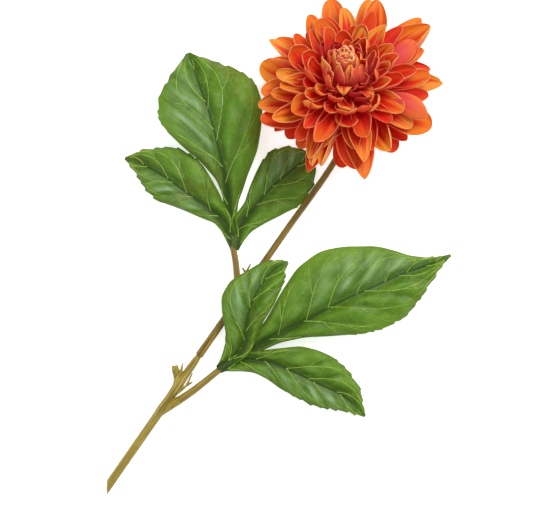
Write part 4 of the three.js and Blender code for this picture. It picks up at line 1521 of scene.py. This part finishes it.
@dataclass
class Leaf:
    """A three-lobed leaf: toothed blades, raised panels between veins, veins and ribs.

    rows and columns say how finely a blade is divided. Its margins wave by wave_height
    and its face swells by swell_height. It keeps floor_gap off the floor, and settles
    on it over floor_softness. tooth_peak is the share of a tooth where it is highest.
    The first vein starts vein_first of a pitch before the lobe, and vein_stagger more
    on the left, and veins stray by vein_wander. They reach over vein_span of a lobe's
    length and out to vein_reach of its width, forks to fork_reach, and both stand
    vein_rise above the blade. fork_shares is where on a vein its forks start. rib_radii
    are a rib's radii at shares of the lobe's length, and rib_rise is how proud it
    stands at the base.
    """

    name: str
    node: str
    lobes: tuple[Lobe, ...]
    finish: LeafFinish
    rib_finish: StemFinish = StemFinish("#3a5212", "#232f08", "#53702a", 57.29578)
    thickness: float = 0.9
    rows: int = 120
    columns: int = 40
    tooth_depth: float = 1.3
    tooth_pitch: float = 6.4
    tooth_peak: float = 0.85
    valley_width: float = 3.2
    valley_depth: float = 1.5
    panel_height: float = 1.7
    wave_height: float = 1.2
    swell_height: float = 0.6
    floor_gap: float = 0.08
    floor_softness: float = 0.5
    vein_first: float = 0.3
    vein_stagger: float = 0.35
    vein_wander: float = 1.8
    vein_radii: tuple[float, float] = (0.36, 0.15)
    vein_span: tuple[float, float] = (0.06, 0.97)
    vein_reach: float = 0.85
    vein_rise: float = 0.14
    vein_points: int = 44
    vein_sides: int = 6
    fork_radii: tuple[float, float] = (0.23, 0.1)
    fork_reach: float = 0.92
    fork_shares: tuple[float, ...] = (0.24, 0.46, 0.68)
    rib_radii: Keys = ((0, 2.1), (0.15, 1.6), (0.8, 0.35))
    rib_rise: float = 1.5
    rib_points: int = 48
    rib_sides: int = 14

    def _phase(self, lobe: Lobe, x: np.ndarray, y: np.ndarray, left: np.ndarray) -> np.ndarray:
        """Where on the midrib the side vein through a point would start.

        Args:
            lobe: Whose veins.
            x: Distances from the midrib.
            y: Distances along it.
            left: Which points are on the left.

        Returns:
            Distances along the midrib, in pitches of that side's veins.
        """
        (left_pitch, left_lean), (right_pitch, right_lean) = lobe.veins
        start = y - x * np.where(left, left_lean, right_lean) * (1 - 0.012 * x)
        wander = np.sin(0.11 * y + 2.1 * lobe.number + left * 1.4) * np.minimum(1, x / 5)
        pitch = np.where(left, left_pitch, right_pitch)
        first = self.vein_first + self.vein_stagger * left
        return (start + self.vein_wander * wander) / pitch + first

    def _bite(self, lobe: Lobe, s: np.ndarray, y: np.ndarray, left: np.ndarray) -> np.ndarray:
        """How far teeth stand out of the margin, or are cut into it.

        Args:
            lobe: Whose margin.
            s: Shares of the lobe's length.
            y: Distances along the midrib.
            left: Which points are on the left.

        Returns:
            Distances, outwards.
        """
        turn = y / self.tooth_pitch + np.where(left, 0.3, 0.75) + 0.16 * np.sin(y * 0.31)
        saw = turn - np.floor(turn)
        peak = self.tooth_peak
        saw = np.where(saw < peak, (saw / peak) ** 1.4, (1 - saw) / (1 - peak))
        start = np.where(left, *lobe.teeth)
        toothed = smooth_step(s - start, -0.04, 0.08) * smooth_step(1 - s, 0.0, 0.06)
        uneven = 0.75 + 0.45 * np.sin(np.floor(turn) * 2.4)
        return self.tooth_depth * (saw - 0.5) * toothed * uneven

    def _surface(
        self, lobe: Lobe, s: np.ndarray, v: np.ndarray
    ) -> tuple[np.ndarray, dict[str, np.ndarray]]:
        """Points of a lobe's middle surface.

        Args:
            lobe: What to draw.
            s: Shares of its length.
            v: Places across it, from -1 at the right margin to 1 at the left.

        Returns:
            The points and their attributes.
        """
        dense = np.linspace(0, 1, 200)
        line = spline(lobe.midrib, dense)
        ahead = np.gradient(line, axis=0)
        ahead /= np.linalg.norm(ahead[:, :2], axis=1, keepdims=True)
        centre = np.stack([np.interp(s, dense, line[:, k]) for k in range(3)], axis=-1)
        along = np.stack([np.interp(s, dense, ahead[:, k]) for k in range(2)] + [0 * s], axis=-1)
        aside = np.stack([-along[..., 1], along[..., 0], 0 * s], axis=-1)
        margin, left = np.abs(v), v > 0
        reach = np.where(left, softened(lobe.left, s), softened(lobe.right, s))
        y = s * lobe.length
        bite = self._bite(lobe, s, y, left) * margin**6
        x = reach * margin + bite
        phase = self._phase(lobe, x, y, left)
        within = np.abs(phase - np.round(phase)) * 2
        inner = smooth_step(x, 1.5, 6.0)
        bulge = np.sin(within * math.pi / 2) ** 0.8 * inner * (1 - smooth_step(margin, 0.7, 1.0))
        bend = lobe.fold * x - lobe.droop * x * x / np.maximum(reach, 1)
        crease = self.valley_depth * bell(x, 0, self.valley_width) * smooth_step(reach, 3, 10)
        wave = self.wave_height * margin**2 * np.sin(y * 0.15 + lobe.number * 2 + v)
        wave = wave * smooth_step(reach, 6, 16)
        swell = self.swell_height * np.sin(x * 0.4 + y * 0.19 + lobe.number) * inner
        low = self.thickness / 2 + self.floor_gap
        above = centre[..., 2] + bend + self.panel_height * lobe.brow * bulge
        above = above - crease + wave + swell - low
        points = centre + aside * (x * np.sign(v))[..., None] + along * (bite * 0.6)[..., None]
        points[..., 2] = (above + np.hypot(above, self.floor_softness)) / 2 + low
        # A painted highlight: a soft patch on one half of the lobe, brightest on one flank of each
        # raised panel.
        highlight_at, highlight_side = lobe.glaze
        patch = bell(s, highlight_at, 0.22) * smooth_step(v * highlight_side, -0.2, 0.3)
        ridge = bell(np.mod(phase, 1), 0.4, 0.2) * inner
        glaze = patch * (0.3 + 0.7 * ridge) * (1 - smooth_step(margin, 0.5, 1.0))
        return points, {"side": x, "margin": margin, "along": s, "bulge": bulge, "glaze": glaze}

    def _blade(self, lobe: Lobe) -> tuple[np.ndarray, np.ndarray, dict[str, np.ndarray]]:
        """The two faces of a lobe.

        Args:
            lobe: What to draw.

        Returns:
            Upper grid, lower grid and attributes.
        """
        v = np.linspace(-1, 1, self.columns + 1)
        v = np.sign(v) * (1 - (1 - np.abs(v)) ** 1.25)
        s, v = np.meshgrid(np.linspace(0, 1, self.rows), v, indexing="ij")
        points, layers = self._surface(lobe, s, v)
        half = np.zeros_like(points)
        half[..., 2] = self.thickness / 2 * np.sqrt(np.clip(1 - np.abs(v) ** 14, 0, 1)) + 0.06
        return points + half, points - half, layers

    def _vein(
        self, lobe: Lobe, y: np.ndarray, margin: np.ndarray, left: bool, radii: tuple[float, float]
    ) -> list[Path]:
        """A vein on the blade, through places along the midrib and towards the margin.

        Args:
            lobe: Whose vein.
            y: Distances along the midrib.
            margin: Shares of the way from the midrib to the margin.
            left: Whether it is on the left.
            radii: At its root and at its tip.

        Returns:
            Line and radii of the part on the blade, or nothing where that is short.
        """
        share = y / lobe.length
        on_blade = (share > self.vein_span[0]) & (share < self.vein_span[1])
        if np.count_nonzero(on_blade) < 4:
            return []
        places = margin[on_blade] if left else -margin[on_blade]
        points, _ = self._surface(lobe, share[on_blade], places)
        thick = np.linspace(*radii, len(y))[on_blade]
        points[:, 2] += self.thickness / 2 + self.vein_rise - thick * 0.35
        return [(points, thick)]

    def _side_veins(self, lobe: Lobe, left: bool) -> list[Path]:
        """The veins on one side of a lobe, which bend along the margin, and their forks.

        Args:
            lobe: Whose veins.
            left: Whether they are on the left.

        Returns:
            Lines and radii.
        """
        made: list[Path] = []
        t = np.linspace(0, 1, self.vein_points)
        pitch, lean = lobe.veins[0 if left else 1]
        edge = lobe.left if left else lobe.right
        first = self.vein_first + self.vein_stagger * left
        for n in range(-2, int(lobe.length / pitch) + 2):
            key = 31 * lobe.number + 7 * n + 100 * left
            begin = (n - first + 0.12 * spread(key, 2)) * pitch
            reach = softened(edge, np.clip(np.array([begin / lobe.length]), 0.15, 0.9))[0]
            run = max(8.0, 1.8 * lean * reach)
            y = begin + run * t + 0.7 * t * np.sin(7 * t + key)
            margin = self.vein_reach * (1 - (1 - t) ** 2.2)
            vein = self._vein(lobe, y, margin, left, self.vein_radii)
            made += vein
            for k, share in enumerate(self.fork_shares if vein else ()):
                i = int(share * len(t))
                ahead = run * (0.2 + 0.06 * k + 0.06 * spread(key + k, 1))
                out = margin[i] + (self.fork_reach - margin[i]) * (1 - (1 - t) ** 1.5)
                made += self._vein(lobe, y[i] + ahead * t, out, left, self.fork_radii)
        return made

    def _rib(self, lobe: Lobe) -> Path:
        """A lobe's rib, proud at the leaf's base and sunk beyond.

        Args:
            lobe: Whose rib.

        Returns:
            Its line and radii.
        """
        shares, radii = zip(*self.rib_radii)
        share = np.linspace(shares[0], shares[-1], self.rib_points)
        line = spline(lobe.midrib, share)
        reach = share * lobe.length
        proud = self.rib_rise * (1 - smooth_step(reach, 5, 20))
        top = line[:, 2] + proud - self.valley_depth * smooth_step(reach, 4, 16) + 0.15
        radius = np.minimum(np.interp(share, shares, radii), top / 2)
        line[:, 2] = top - radius
        return line, radius

    def build(self, tubes: "TubeTree") -> list[bpy.types.Object]:
        """Makes and dresses the blades, the veins and the ribs.

        Args:
            tubes: The tree that makes ribs and veins.

        Returns:
            Its pieces.
        """
        mesh = sheet_mesh(self.name, [self._blade(lobe) for lobe in self.lobes])
        mesh.materials.append(self.finish.material(self.name + "_cloth"))
        ribs = [self._rib(lobe) for lobe in self.lobes]
        rib_plastic = self.rib_finish.material(self.name + "_rib_plastic")
        sides = [(lobe, left) for lobe in self.lobes for left in (False, True)]
        veins = [vein for side in sides for vein in self._side_veins(*side)]
        vein_cloth = self.finish.vein_material(self.name + "_vein_cloth")
        grown = []
        for name, paths, corners, material in (
            (self.name + "_ribs", ribs, self.rib_sides, rib_plastic),
            (self.name + "_veins", veins, self.vein_sides, vein_cloth),
        ):
            carrier = path_mesh(name + "_paths", paths)
            grown.append(tubes.grow(name, carrier, Sides=corners, Material=material))
        made = [placed(self.name, mesh), *grown]
        for piece in made:
            dressed(piece, self.node)
        return made


# --- stems ---
class TubeTree(ShapeTree):
    """Makes a closed tube along each line of a carrier, round or with flutes."""

    def __init__(self) -> None:
        """Builds the tree."""
        super().__init__(
            "tubes",
            {
                "Sides": ("Int", 24),
                "Flutes": ("Float", 0.0),
                "Flute Depth": ("Float", 0.0),
                "Material": ("Material", None),
            },
        )
        (thick,) = self.read("thick")
        line = self.geometry("MeshToCurve", Mesh=self.input("Carrier"))
        line = self.geometry("SetCurveRadius", Curve=line, Radius=thick)
        circle = {"Resolution": self.input("Sides"), "Radius": 1.0}
        circle = self.call("GeometryNodeCurvePrimitiveCircle", circle, mode="RADIUS")
        turn = self.call("GeometryNodeSplineParameter", {}, "Factor") * TURN
        swell = (turn * self.input("Flutes")).cos() * self.input("Flute Depth") + 1
        x, y, _ = self.parts(self.geometry("InputPosition"))
        fluted = self.combine(x * swell, y * swell, 0.0)
        profile = self.geometry("SetPosition", Geometry=circle, Position=fluted)
        profile = self.geometry("SetCurveRadius", Curve=profile, Radius=1.0)
        inputs = {"Curve": line, "Profile Curve": profile, "Fill Caps": True}
        tube = self.node("GeometryNodeCurveToMesh", inputs)
        if "Scale" in tube.inputs:
            self.feed(tube.inputs["Scale"], thick)
        self.end(Field(self, tube.outputs[0]))


@dataclass
class StemLine:
    """The stem's centre line on the surface, by the distance from its cut end."""

    foot: Place = (-111.5, -155.7, 0.0)
    heading: float = 55.1
    rest_length: float = 56
    leaf_fork: float = 61
    stub_fork: float = 80
    joint: float = 103.5
    upper_fork: float = 148
    neck_start: float = 257
    foot_radius: float = 2.6

    def point(self, distance: float, aside: float = 0, rise: float = 0) -> np.ndarray:
        """A point on the stem or beside it.

        Args:
            distance: How far along the stem it is.
            aside: How far it is to the left.
            rise: How far it is above the centre line.

        Returns:
            Its coordinates.
        """
        low = self.foot_radius * math.cos(math.pi / 10)
        heights = (
            (self.rest_length, low), (self.leaf_fork, 2.95), (self.joint, 3.4),
            (self.upper_fork, 4.2), (self.neck_start, 6.4),
        )
        z = np.interp(distance, *zip(*heights)) + rise
        c, s = math.cos(math.radians(self.heading)), math.sin(math.radians(self.heading))
        x, y, _ = self.foot
        return np.array([x + distance * c - aside * s, y + distance * s + aside * c, z])


def finger(points: Sequence[Point], root: float, tip: float) -> Path:
    """A line that tapers from one radius to another, with a rounded end.

    Args:
        points: What it passes through.
        root: Radius at its start.
        tip: Radius near its end.

    Returns:
        Its points and radii.
    """
    share = np.linspace(0, 1, 24)
    radius = root + (tip - root) * share
    return spline(points, share), radius * np.sqrt(np.clip(1 - share**14, 0.05, 1))


def sprig(root: Point, fork: Point, prongs: Sequence[Point], radius: float = 1.0) -> list[Path]:
    """A slender twig that ends in prongs.

    Args:
        root: Where it starts.
        fork: Where it divides.
        prongs: Where its prongs end.
        radius: Its radius at the root.

    Returns:
        Lines and radii.
    """
    middle = (np.asarray(root) + np.asarray(fork)) / 2
    made = [finger([root, middle, fork], radius, radius * 0.85)]
    return made + [finger([fork, tip], radius * 0.8, radius * 0.5) for tip in prongs]


def shaft(
    stations: Sequence[Point],
    ends: tuple[float, float],
    radii: Keys,
    waves: tuple[float, float],
    count: int,
) -> Path:
    """A length of stem with soft swellings.

    Args:
        stations: What it passes through.
        ends: Distances along the stem of its first and its last point.
        radii: Pairs of distance and radius.
        waves: How many radians its two faint waves run in each millimetre.
        count: How many points it gets.

    Returns:
        Line and radii.
    """
    share = np.linspace(0, 1, count)
    at = ends[0] + share * (ends[1] - ends[0])
    places, values = zip(*radii)
    thick = np.mean([np.interp(at + d, places, values) for d in (-1.2, -0.6, 0, 0.6, 1.2)], axis=0)
    uneven = 1 + 0.02 * np.sin(at * waves[0]) * np.sin(at * waves[1])
    return spline(stations, share), thick * uneven


@dataclass(frozen=True)
class Stalk:
    """A leaf's stalk: what it passes through, its socket's length and its radius."""

    points: tuple[Point, ...]
    socket_length: float
    radius: float
    end_radius: float = 1.9
    socket_wall: float = 0.12

    def socket(self, count: int = 24) -> Path:
        """The short socket on the stem that holds the stalk."""
        share = np.linspace(0, self.socket_length / curve_length(self.points), count)
        return spline(self.points, share), self.radius + np.linspace(0, self.socket_wall, count)

    def stalk(self, count: int = 40) -> Path:
        """The stalk, from its socket to the leaf's base."""
        share = np.linspace(self.socket_length / curve_length(self.points), 1, count)
        return spline(self.points, share), np.linspace(self.radius, self.end_radius, count)


@dataclass
class Branching:
    """Lines and radii of the two stem lengths and the two leaf stalks."""

    line: StemLine
    bloom: BloomPlace
    peg_radius: float = 1.2
    peg_length: float = 9
    seat_gap: float = 0.15
    overrun: float = 8
    stub_root: float = 2.1

    def lower_stalk(self) -> Stalk:
        """The lower leaf's stalk."""
        start = self.line.point(self.line.leaf_fork - 3)
        return Stalk((start, (-70.3, -103, 3.6), (-57, -94.2, 4.3), (-38.1, -79.2, 5.4)), 16, 2.4)

    def upper_stalk(self) -> Stalk:
        """The upper leaf's stalk."""
        start = self.line.point(self.line.upper_fork)
        return Stalk((start, (-27.2, -24, 4.6), (-28.4, -10, 4.8), (-30.2, 0.2, 4.6)), 7, 2.05)

    def lower(self) -> list[Path]:
        """The lower length.

        Returns:
            Its shaft, peg, leaf socket, empty stub and sprig.
        """
        line, at, stub = self.line, self.line.point, self.line.stub_fork
        start, end = -self.overrun, line.joint - self.seat_gap
        stations = [start, line.rest_length - 1, line.rest_length, line.leaf_fork, stub, end]
        radii = (
            (line.rest_length, 2.6), (line.leaf_fork, 3), (line.leaf_fork + 8, 2.6),
            (stub, 2.9), (stub + 6, 2.5), (line.joint - 4, 2.3), (line.joint - 1, 1.7),
        )
        root = at(stub - 4, 0.5)
        lobes = ((8.9, 10.1, 0.6, 1.6), (10.4, 8.6, 1.2, 1.4), (9.2, 6.2, -0.2, 1.2))
        prongs = [(-56.2, -81.6, 6), (-56.1, -87.6, 4.8)]
        return [
            shaft([at(d) for d in stations], (start, end), radii, (1.3, 0.37), 160),
            finger([at(end - 2), at(end + self.peg_length)], self.peg_radius, self.peg_radius),
            self.lower_stalk().socket(),
            *(
                finger([root, at(stub + 2, 2.4), at(stub + ahead, aside, rise)], self.stub_root, r)
                for ahead, aside, rise, r in lobes
            ),
            finger([at(stub + 3, 1), at(stub + 14, 6.1, 0.8)], 1.0, 0.6),
            *sprig(at(line.leaf_fork + 9, -0.6, 1), (-60.3, -90.2, 5.2), prongs),
        ]

    def upper(self) -> list[Path]:
        """The upper length.

        Returns:
            Its shaft up into the bloom, leaf socket and sprig.
        """
        line, at = self.line, self.line.point
        on_axis = [self.bloom.place(np.array([0.0, 0.0, h])) for h in (-26.0, -21.3)]
        distances = (line.joint, line.upper_fork, line.upper_fork + 50, line.neck_start)
        points = [*(at(d) for d in distances), (42.4, 70.0, 7.6), *on_axis]
        radii = (
            (line.joint, 2.45), (line.joint + 3, 2.45), (line.joint + 12, 2.3),
            (line.upper_fork - 10, 2.1), (line.upper_fork, 2.5), (line.upper_fork + 10, 2.05),
            (line.neck_start, 1.95), (line.neck_start + 35, 2.1), (line.neck_start + 46, 2.5),
        )
        prongs = [(-24.2, -13.6, 5.6), (-18.6, -10.9, 4.6)]
        end = line.joint + curve_length(points)
        return [
            shaft(points, (line.joint, end), radii, (1.1, 0.31), 220),
            self.upper_stalk().socket(),
            *sprig(at(line.upper_fork + 7, 1, 0), (-21.8, -17.2, 5), prongs),
        ]


@dataclass
class Stem:
    """One moulded length of the stem, with what grows from it.

    paths are its lines, each drawn as a tube with flutes. voxel is how finely they are
    melted together, cut_at the X past which the foot is cut off, and a face with
    cap_corners or more is that cut's cap, which stays flat.
    """

    name: str
    node: str
    slot: str
    paths: list[Path]
    finish: StemFinish
    sides: int = 48
    flutes: float = 6.0
    flute_depth: float = 0.075
    voxel: float = 0.27
    smoothing: int = 4
    cut_at: float = -111.8
    cap_corners: int = 8

    def build(self, tubes: TubeTree) -> list[bpy.types.Object]:
        """Makes the tubes, melts them into one skin and dresses it.

        Args:
            tubes: The tree that makes tubes.

        Returns:
            Its piece.
        """
        material = self.finish.material(self.name + "_plastic")
        piece = tubes.grow(
            self.name,
            path_mesh(self.name + "_paths", self.paths),
            Sides=self.sides,
            Flutes=self.flutes,
            Flute_Depth=self.flute_depth,
            Material=material,
        )
        remesh = piece.modifiers.new("Skin", "REMESH")
        remesh.mode = "VOXEL"
        remesh.voxel_size = self.voxel * MM
        remesh.use_smooth_shade = True
        piece.modifiers.new("Soften", "SMOOTH").iterations = self.smoothing
        graph = bpy.context.evaluated_depsgraph_get()
        skin = bpy.data.meshes.new_from_object(piece.evaluated_get(graph), depsgraph=graph)
        piece.modifiers.clear()
        old, piece.data = piece.data, skin
        bpy.data.meshes.remove(old)
        skin.name = self.name
        skin.materials.clear()
        skin.materials.append(material)
        self._cut(skin)
        dressed(piece, self.node)
        return [piece]

    def _cut(self, mesh: bpy.types.Mesh) -> None:
        """Cuts off what is past the stem's slanted end, and closes the cut.

        Args:
            mesh: The stem's mesh.
        """
        work = bmesh.new()
        work.from_mesh(mesh)
        cut = bmesh.ops.bisect_plane(
            work,
            geom=work.verts[:] + work.edges[:] + work.faces[:],
            plane_co=(self.cut_at * MM, 0, 0),
            plane_no=(-1, 0, 0),
            clear_outer=True,
        )
        rim = [e for e in cut["geom_cut"] if isinstance(e, bmesh.types.BMEdge)]
        if rim:
            bmesh.ops.edgeloop_fill(work, edges=rim)
        for f in work.faces:
            f.smooth = len(f.verts) < self.cap_corners
        work.to_mesh(mesh)
        work.free()


# --- studio ---
@dataclass(frozen=True)
class Lamp:
    """A square lamp that faces the flower."""

    name: str
    place: Place
    size: float
    power: float
    tint: tuple[float, float, float]

    def hang(self) -> None:
        """Puts the lamp in the scene."""
        data = bpy.data.lights.new(self.name, "AREA")
        data.size = self.size
        data.energy = self.power
        data.color = self.tint
        lamp = bpy.data.objects.new(self.name, data)
        lamp.location = self.place
        lamp.visible_camera = False
        lamp.rotation_mode = "QUATERNION"
        lamp.rotation_quaternion = (-Vector(self.place)).to_track_quat("-Z", "Y")
        bpy.context.scene.collection.objects.link(lamp)


@dataclass
class Studio:
    """Pale floor, soft light and a camera straight above."""

    camera_at: Place = (-0.33, -7.8, 1500.0)
    lens: float = 148.9
    sensor: float = 36
    floor_size: float = 8.0
    floor_tones: tuple[float, float] = (0.93, 0.95)
    sky_strength: float = 0.5
    lamps: tuple[Lamp, ...] = (
        Lamp("key", (0.55, 0.75, 1.1), 0.8, 17.0, (1.0, 0.98, 0.95)),
        Lamp("fill", (-1.0, -0.5, 1.0), 1.4, 5.0, (0.95, 0.98, 1.0)),
    )

    def build(self) -> None:
        """Makes the camera, the lights and the floor."""
        scene = bpy.context.scene
        camera = bpy.data.objects.new("camera", bpy.data.cameras.new("camera"))
        scene.collection.objects.link(camera)
        camera.location = [c * MM for c in self.camera_at]
        camera.data.lens = self.lens
        camera.data.sensor_width = self.sensor
        scene.camera = camera
        scene.view_settings.view_transform = "Standard"

        scene.world = bpy.data.worlds.new("room")
        scene.world.use_nodes = True
        sky = scene.world.node_tree.nodes["Background"]
        sky.inputs["Color"].default_value = (1.0, 1.0, 1.0, 1.0)
        sky.inputs["Strength"].default_value = self.sky_strength
        for lamp in self.lamps:
            lamp.hang()

        bpy.ops.mesh.primitive_plane_add(size=self.floor_size)
        floor = bpy.context.object
        floor.name = "floor"
        paint = Paint("floor_paper", 0.9)
        dull, clean = ((tone, tone, tone, 1.0) for tone in self.floor_tones)
        paint.set(Base_Color=paint.coats(dull, (clean, paint.noise(paint.place, 30, 2))))
        paint.set(Specular_IOR_Level=0.1, Emission_Color=(1, 1, 1, 1), Emission_Strength=0.6)
        floor.data.materials.append(paint.material)


# --- leaf tables ---
UPPER_LOBES = (
    Lobe(
        number=0,
        midrib=(
            (-29, -2.2, 4.8), (-31, 12, 5.4), (-33.4, 27, 7), (-34.4, 38, 9.4), (-38, 57.5, 12.4),
            (-42.2, 74.5, 12.6), (-47, 91, 9.6), (-52, 104.5, 6), (-59.4, 125.6, 1.4),
        ),
        left=widths(2.6, 4.6, 3.2, 2.6, 5.5, 12.9, 22.2, 29.9, 33, 27, 15, 0.4),
        right=widths(2.6, 4.7, 4.7, 7.9, 15, 24.1, 30.2, 35, 34.6, 26, 13, 0.4),
        teeth=(0.62, 0.72),
        veins=((23, 2.0), (26, 2.4)),
        fold=0.26,
        droop=0.32,
        glaze=(0.68, 1),
    ),
    Lobe(
        number=1,
        midrib=(
            (-29, -2.2, 4.8), (-31.6, 8.2, 5.6), (-37.4, 17.2, 7.6), (-45.2, 23.6, 9.6),
            (-55, 31, 10.6),
            (-74.5, 45.2, 8.6), (-84.2, 51, 5.4), (-92, 54.8, 2.8), (-100.4, 57.3, 0.9),
        ),
        left=widths(2.4, 4.5, 4.7, 5, 7.8, 10, 12.8, 16, 14.2, 10, 5.6, 0.4),
        right=widths(2.4, 2.9, 4.9, 7.6, 12.9, 17.3, 21, 21.9, 19.5, 13.1, 6.8, 0.4),
        teeth=(0.6, 0.55),
        veins=((19, 1.6), (18, 1.5)),
        fold=0.24,
        droop=0.34,
        glaze=(0.6, 1),
    ),
    Lobe(
        number=2,
        midrib=(
            (-29, -2.2, 4.8), (-27.8, 7, 5), (-24.6, 15, 4.6), (-15.3, 26.3, 3.4),
            (-4.9, 38.7, 2.2),
            (7.5, 49.1, 1.4), (14.6, 54.9, 1), (21.1, 60.8, 0.9),
        ),
        left=widths(2.2, 2, 3.4, 6.2, 6.9, 10, 12.8, 16.6, 18.9, 16.1, 11, 0.4),
        right=widths(2.4, 5.5, 7.7, 9.7, 12.1, 16.3, 19.4, 21.4, 20.5, 16.5, 10.5, 0.4),
        teeth=(0.62, 0.6),
        veins=((17, 1.7), (19, 1.6)),
        fold=0.08,
        droop=0.05,
        glaze=(0.75, 1),
        brow=0.6,
    ),
)

LOWER_LOBES = (
    Lobe(
        number=0,
        midrib=(
            (-39.4, -79.8, 5.6), (-32.2, -74.4, 6.2), (-19.2, -67.3, 7.4), (-2.9, -58.2, 9.6),
            (16.6, -47.8, 11.4), (42.6, -34.1, 11.6), (58.8, -27, 9.6), (78.3, -18.5, 5.6),
            (97.8, -11.4, 2.4), (111.2, -5.5, 0.9),
        ),
        left=widths(2.6, 5.4, 5.9, 12, 23.2, 32.4, 35.2, 30.5, 23.4, 9.4, 3.8, 0.4),
        right=widths(2.6, 3.6, 3.9, 4.8, 9.4, 17.6, 25, 27.6, 26.6, 17.6, 6.4, 0.4),
        teeth=(0.9, 0.5),
        veins=((19, 1.0), (23, 2.2)),
        fold=0.26,
        droop=0.34,
        glaze=(0.72, 1),
        brow=1.3,
    ),
    Lobe(
        number=1,
        midrib=(
            (-39.4, -79.8, 5.6), (-33.4, -75.8, 6.6), (-25.4, -68, 8.4), (-22.4, -59.4, 9.8),
            (-19.8, -42.6, 12), (-14, -28.3, 12), (-7, -18.6, 10), (-0.3, -12.7, 7.6),
            (5.5, -10, 5.6),
        ),
        left=widths(2.6, 6.4, 10.6, 12, 13.2, 15.8, 20, 18.7, 12.6, 9, 4.6, 0.4),
        right=widths(2.4, 3.4, 4, 6.2, 7.4, 10.4, 12.6, 13.7, 12.9, 11.2, 8.2, 0.4),
        teeth=(0.86, 0.8),
        veins=((20, 1.8), (19, 2.0)),
        fold=0.3,
        droop=0.2,
        glaze=(0.62, 1),
    ),
    Lobe(
        number=2,
        midrib=(
            (-39.4, -79.8, 5.6), (-34.4, -76.2, 6.2), (-22.4, -72.5, 7.2), (-6.2, -75, 8.6),
            (8.1, -80.6, 9), (23.1, -87.9, 8), (42.6, -97.8, 4.6), (55.6, -110.2, 0.9),
        ),
        left=widths(2.4, 3.8, 3.8, 5.5, 10.2, 16.8, 19.5, 20, 17.3, 11.4, 5.5, 0.4),
        right=widths(2.4, 6.4, 8.6, 9, 11.1, 13.7, 14.5, 14.4, 13.2, 9.6, 5.5, 0.4),
        teeth=(0.66, 0.5),
        veins=((19, 1.9), (18, 1.7)),
        fold=0.22,
        droop=0.28,
        glaze=(0.66, -1),
    ),
)


def main() -> None:
    """Builds the flower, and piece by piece."""
    logging.basicConfig(level=logging.INFO, format="%(message)s")
    place, line = BloomPlace(), StemLine()
    petal_tree, tubes = PetalTree(), TubeTree()
    branching = Branching(line, place)
    Studio().build()
    for part in (Bloom(place, petal_tree), Heart(place, petal_tree), Calyx(place, petal_tree)):
        part.build()
        log.info("built the %s", type(part).__name__.lower())
    lower_finish = StemFinish("#9d8930", "#67541a", "#c3af5c", line.heading)
    upper_finish = StemFinish("#846a18", "#55410c", "#ae933a", line.heading)
    lower_stalk_finish = StemFinish("#947f2e", "#63501a", "#b9a554", 33)
    upper_stalk_finish = StemFinish("#836d20", "#574312", "#a68f40", 92)
    lower_stalk, upper_stalk = [branching.lower_stalk().stalk()], [branching.upper_stalk().stalk()]
    for stem in (
        Stem("lower_stem", "stem_lower", "lower_stem", branching.lower(), lower_finish),
        Stem("upper_stem", "stem_upper", "upper_stem", branching.upper(), upper_finish),
        Stem("stalk_lower", "leaf_stalk_lower", "leaf_stalk", lower_stalk, lower_stalk_finish),
        Stem("stalk_upper", "leaf_stalk_upper", "leaf_stalk", upper_stalk, upper_stalk_finish),
        Leaf("upper_leaf", "leaf_upper", UPPER_LOBES, LeafFinish(brownness=0.45)),
        Leaf("lower_leaf", "leaf_lower", LOWER_LOBES, LeafFinish(brownness=0.15)),
    ):
        stem.build(tubes)
        log.info("built the %s", stem.name)


if __name__ == "__main__":
    main()
